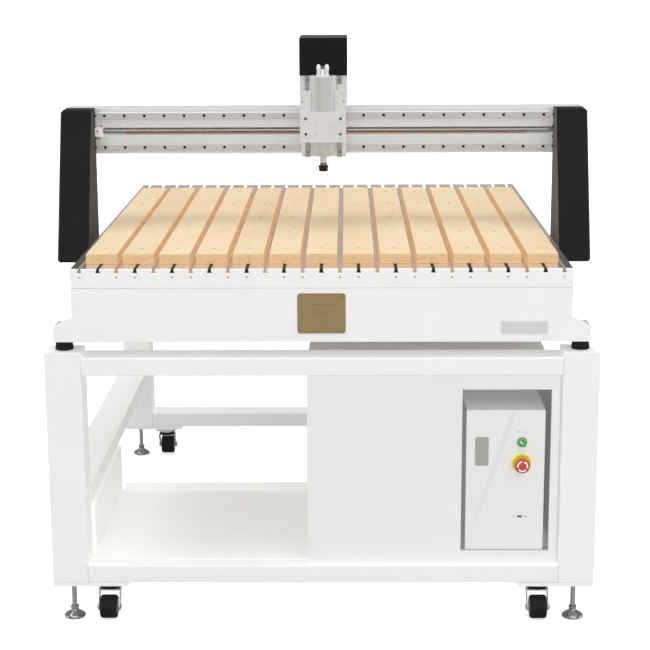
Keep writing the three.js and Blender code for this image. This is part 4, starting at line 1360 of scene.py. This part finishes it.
def build_head():
    body, slot = "z_head", "head_anodised"
    plate = Shape().box((-HEAD_HALF, HEAD_HALF), (back(561), back(575.9)), (1290.2, 1437.8))
    # cheeks with the rounded spindle seat on their inner side
    seat = [(41.6, back(506)), (41.6, back(561.2)), (31.5, back(561.2))]
    seat += arc(SPINDLE, SEAT_RADIUS, 58, 0, 10) + [(39.3, back(506))]
    for _, side in SIDES:
        across = sorted((side * 41.5, side * HEAD_HALF))
        plate.box(across, (back(491.2), back(561.4)), (1296.2, 1437.8))
        plate.prism(mirrored(side, seat), "Z", 1296.2, 1437.8)
    # front lips, hollowed to the spindle
    lip = [(41.7, back(506.2)), (41.7, back(491.2)), (34.2, back(491.2))]
    lip += arc(SPINDLE, SEAT_RADIUS, -32.4, -14.3, 5)
    for _, side in SIDES:
        plate.prism(mirrored(side, lip), "Z", 1296.2, 1437.6)
    plate.finish("head_plate", "head_anodised", body, slot, 0.6, replaces="z_plate")

    caps = Shape()
    for _, side in SIDES:
        across = sorted((side * 35.2, side * HEAD_HALF))
        caps.box(across, (back(491.3), back(506.2)), (1437.4, 1443.9))
    caps.finish("head_cheek_caps", "head_anodised", body, slot, 0.5)

    blocks = Shape()
    section = (  # offset from the rail, distance back
        (-16.6, 575.6), (16.6, 575.6), (16.6, 599.8), (8.1, 599.8), (8.1, 588.8),
        (-8.1, 588.8), (-8.1, 599.8), (-16.6, 599.8),
    )
    for x in around(0, RAIL_OFFSET):
        outline = [(x + offset, back(distance)) for offset, distance in section]
        for z in (1322, 1382):
            blocks.prism(outline, "Z", z + 2, z + 54)
    blocks.finish("z_carriage_blocks", "ground_steel", body, "rail_steel", 0.4)

    nut = Shape().box((-17.8, 17.8), (back(575.6), back(581.5)), (1345.2, 1384.8))
    profile = [(6.5, 1345.4), (12.2, 1345.4), (12.2, 1384.6), (6.5, 1384.6)]
    nut.lathe(profile, "Z", Z_SCREW, 32, loop=True)
    nut.finish("z_screw_nut", "dark_steel", body)

    screws = Shape()
    for _, side in SIDES:
        screws.screw("Y", (side * 60, 1413), 3.1, back(491.4), back(491.05))
        for z in (1330, 1366):
            screws.screw("X", (back(530), z), 3.4, side * 67.3, side * 67.38)
    screws.finish("head_plate_screws", "black_oxide_bolt", body)
    Shape().box((41, 59.5), (back(563), back(574)), (1437.9, 1456.5)).finish(
        "trip_block", "grey_badge", body, bevel=1.0)


def build_clamp():
    dress("spindle_clamp", "clamp_anodised", 1.1)
    bolts = Shape()
    for x in (-50.5, 50.5):
        for z in (1320, 1365):
            bolts.screw("Y", (x, z), 4.2, back(477.5), back(471.4))
    bolts.finish("clamp_bolts", "grey_bolt", "z_head")
    dowels = Shape()
    profile = set_back((1.5, 470.4), (1.5, 469.95), (0.8, 469.85))
    for centre in ((-22, 1318), (22, 1345), (22, 1318), (-22, 1345)):
        dowels.lathe(profile, "Y", centre, 14)
    dowels.finish("clamp_dowels", "grey_bolt", "z_head")


def build_spindle():
    body, brushed = "z_head", "spindle_brushed"
    profile = [
        (30, 1300.2), (39.0, 1300.2), (40, 1301.2), (40, 1470), (39.6, 1470.6), (39.6, 1472.2),
        (40, 1472.8), (40, 1483.6), (39.4, 1485.2), (38, 1486),
    ]
    Shape().lathe(profile, "Z", SPINDLE, 96).finish(
        "spindle_housing", brushed, body, brushed, crease=50, replaces="spindle_body")
    profile = [
        (20, 1261.6), (32.2, 1261.6), (33, 1262.4), (33, 1292), (32.4, 1293), (32.4, 1295),
        (33, 1296), (33, 1300.4),
    ]
    lower = Shape().lathe(profile, "Z", SPINDLE, 80)
    lower.lathe([(14, 1252.6), (24.2, 1252.6), (25, 1253.6), (25, 1261.8)], "Z", SPINDLE, 64)
    lower.finish("spindle_lower", brushed, body, brushed, crease=50)

    screws = Shape()
    for k in range(4):
        centre = polar(SPINDLE, 33.5, math.pi / 4 + k * math.pi / 2)
        screws.screw("Z", centre, 2.6, 1485.9, 1488.4)
    for k in range(6):
        centre = polar(SPINDLE, 28.6, k * math.pi / 3 + 0.2)
        screws.screw("Z", centre, 1.9, 1261.7, 1260.0)
    screws.finish("spindle_cap_screws", "black_oxide_bolt", body)

    # two ribbed nipples and a plain one on top
    fittings = Shape()
    nipple = [
        (5.0, 1491.8), (5.0, 1495), (5.9, 1496.4), (5.2, 1498.2), (6.0, 1500), (6.5, 1503),
        (6.5, 1509), (6.0, 1513), (4.9, 1516.6), (3.2, 1518.6),
    ]
    for x in (-12.6, 11.2):
        centre = (x, SPINDLE[1] + 4)
        fittings.hexagon("Z", centre, 6.5, 1485.6, 1492, phase=0.2)
        fittings.lathe(nipple, "Z", centre, 24)
    plain = [(6.1, 1485.6), (6.1, 1490), (5.5, 1490.6), (5.5, 1499), (5.0, 1504), (3.2, 1506.8)]
    fittings.lathe(plain, "Z", (-0.8, SPINDLE[1] - 16), 28)
    fittings.finish("spindle_fittings", "nickel_nipple", body, brushed, crease=45)


def build_nose():
    body, slot = "spindle_rotor", "nose_steel"
    profile = [(7, 1232.2), (9.6, 1232.2), (10, 1232.8), (10, 1251.4), (9.4, 1252.1), (7, 1252.1)]
    Shape().lathe(profile, "Z", SPINDLE, 40).finish(
        "nose_shaft", "nose_ground", body, slot, replaces="spindle_nose")
    profile = [(7, 1224.2), (9.6, 1224.2), (10, 1225), (10, 1232.4), (7, 1232.4)]
    Shape().lathe(profile, "Z", SPINDLE, 40).finish("nose_collar", "dark_steel", body, slot)

    # the collet nut's rim is notched in turns of three steps: radius, z, notch depth
    stations = (
        (7.2, 1207.0, 0), (12.4, 1207.0, 0), (13.2, 1208.0, 0.6), (13.6, 1218.4, 0.6),
        (14.2, 1219.6, 0), (15.2, 1220.6, 1.0), (15.4, 1221.6, 1.0), (15.4, 1223.2, 1.0),
        (14.8, 1224.0, 0), (8, 1224.4, 0),
    )
    steps = 48
    rings = []
    for radius, z, notch in stations:
        ring = []
        for i in range(steps):
            reach = radius - (notch if (i // 3) % 2 else 0)
            ring.append((*polar(SPINDLE, reach, 2 * math.pi * i / steps), z))
        rings.append(ring)
    Shape().rings(rings).finish("collet_nut", "collet_nut_oxide", body, slot, crease=40)


build_stand()
build_sheet_metal()
build_control_box()
build_emergency_stop()
build_selector()
build_corners()
build_bed()
build_badges()
build_strips()
build_long_axis()
build_bridge()
build_carriage_plate()
build_x_blocks()
build_z_rails()
build_carriage_screws()
build_z_drive()
build_head()
build_clamp()
build_spindle()
build_nose()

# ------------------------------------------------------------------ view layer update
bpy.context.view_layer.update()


# ------------------------------------------------------------------ floor, world, light, camera
def build_floor():
    """A floor that looks almost white to the camera but throws back less light."""
    surface = Surface("pale_floor")
    cloud = surface.noise(scale=1.3, detail=4.0)
    fine = surface.noise(scale=260.0)
    seen = surface.node("ShaderNodeLightPath").outputs["Is Camera Ray"]
    shade = surface.math(
        "ADD",
        surface.remap(cloud, (0.3, 0.7), to=(0.995, 1.005)),
        surface.remap(fine, (0.3, 0.7), to=(-0.003, 0.003)),
    )
    surface.set(
        Base_Color=surface.scale(surface.mix(seen, grey(0.46), grey(0.90)), shade),
        Roughness=surface.remap(fine, (0.3, 0.7), to=(0.8, 0.9)),
        Specular_IOR_Level=0.1,
        Emission_Color=grey(1.0),
        Emission_Strength=surface.math("MULTIPLY", seen, 0.34),
    )
    data = bpy.data.meshes.new("floor")
    mesh = bmesh.new()
    bmesh.ops.create_grid(mesh, x_segments=2, y_segments=2, size=60)
    mesh.to_mesh(data)
    mesh.free()
    data.materials.append(surface.material)
    floor = bpy.data.objects.new("floor", data)
    floor.location = (0, 0, -0.0005)
    bpy.context.scene.collection.objects.link(floor)


def build_world():
    """White to the camera, and a dim glow a little stronger from above for everything else."""
    world = bpy.data.worlds.new("studio")
    bpy.context.scene.world = world
    graph = Graph(world)
    output = graph.node("ShaderNodeOutputWorld")
    blend = graph.node("ShaderNodeMixShader")
    path = graph.node("ShaderNodeLightPath")
    glow = graph.node("ShaderNodeBackground")
    backdrop = graph.node("ShaderNodeBackground")
    upward = graph.split(graph.node("ShaderNodeTexCoord").outputs["Generated"])[2]
    for background, strength in (
        (glow, graph.remap(upward, (-0.2, 1.0), to=(0.38, 0.40))),
        (backdrop, 1.05),
    ):
        graph.feed(background.inputs[0], grey(1.0))
        graph.feed(background.inputs[1], strength)
    graph.feed(blend.inputs[0], path.outputs["Is Camera Ray"])
    graph.feed(blend.inputs[1], glow.outputs[0])
    graph.feed(blend.inputs[2], backdrop.outputs[0])
    graph.feed(output.inputs[0], blend.outputs[0])


def place_light(name, data, direction, location=(0, 0, 0)):
    light = bpy.data.objects.new(name, data)
    light.location = location
    light.rotation_mode = "QUATERNION"
    light.rotation_quaternion = direction.to_track_quat("-Z", "Y")
    bpy.context.scene.collection.objects.link(light)
    return light


def add_area(name, location, target, size, power):
    data = bpy.data.lights.new(name, "AREA")
    data.shape = "RECTANGLE"
    data.size, data.size_y = size
    data.energy = power
    place_light(name, data, Vector(target) - Vector(location), location)


def add_fill(name, direction, strength, spread=56):
    """A wide soft fill that casts no shadow, like the wall-size diffusers of a studio."""
    data = bpy.data.lights.new(name, "SUN")
    data.energy = strength
    data.angle = math.radians(spread)
    data.use_shadow = False
    return place_light(name, data, Vector(direction))


def build_lights():
    add_area("key", location=(2.6, -3.6, 4.2), target=(0.1, -0.4, 0.8), size=(1.6, 1.6), power=14)
    add_area("top", location=(0.2, -0.1, 4.6), target=(0.0, -0.2, 1.0), size=(2.6, 1.6), power=6)
    add_fill("front_fill", direction=(-0.12, 1.0, -0.22), strength=1.31, spread=66)
    add_fill("inside_fill", direction=(0.0, 0.0, -1.0), strength=0.65)
    # the last three fills leave out the control box and the cabinet
    excluded = bpy.data.collections.new("kept_out_of_the_fill")
    names = ("control_box_finished", "cabinet_shell_finished", "cabinet_front_panel_finished",
             "cabinet_back_louvres")
    for piece in bpy.context.scene.collection.objects:
        if piece.name in names:
            excluded.objects.link(piece)
    for member in excluded.collection_objects:
        member.light_linking.link_state = "EXCLUDE"
    for fill in (
        add_fill("top_fill", direction=(0.05, 0.0, -1.0), strength=1.75),
        add_fill("left_fill", direction=(1.0, 0.0, -0.1), strength=1.15),
        add_fill("right_fill", direction=(-1.0, 0.0, -0.1), strength=1.15),
    ):
        fill.light_linking.receiver_collection = excluded


def build_camera():
    """In front and above, looking to the rear and down; angles are in radians."""
    data = bpy.data.cameras.new("camera")
    data.sensor_width = 36.0
    data.lens = 91.520862
    data.clip_start = 0.05
    data.clip_end = 200
    camera = bpy.data.objects.new("camera", data)
    yaw, pitch, roll = 0.0133389, 0.2206588, -0.00464462
    location = Vector((0.06733, -5.17588, 1.83144))
    ahead = Vector((-math.sin(yaw) * math.cos(pitch), math.cos(yaw) * math.cos(pitch),
                    -math.sin(pitch)))
    level = Vector((math.cos(yaw), math.sin(yaw), 0))
    upright = level.cross(ahead)
    right = level * math.cos(roll) + upright * math.sin(roll)
    up = upright * math.cos(roll) - level * math.sin(roll)
    columns = (right, up, -ahead, location)
    rows = [tuple(column[i] for column in columns) for i in range(3)]
    camera.matrix_world = Matrix((*rows, (0, 0, 0, 1)))
    bpy.context.scene.collection.objects.link(camera)
    bpy.context.scene.camera = camera


build_floor()
build_world()
build_lights()
build_camera()
bpy.context.scene.view_settings.view_transform = "Standard"
bpy.context.scene.view_settings.look = "None"
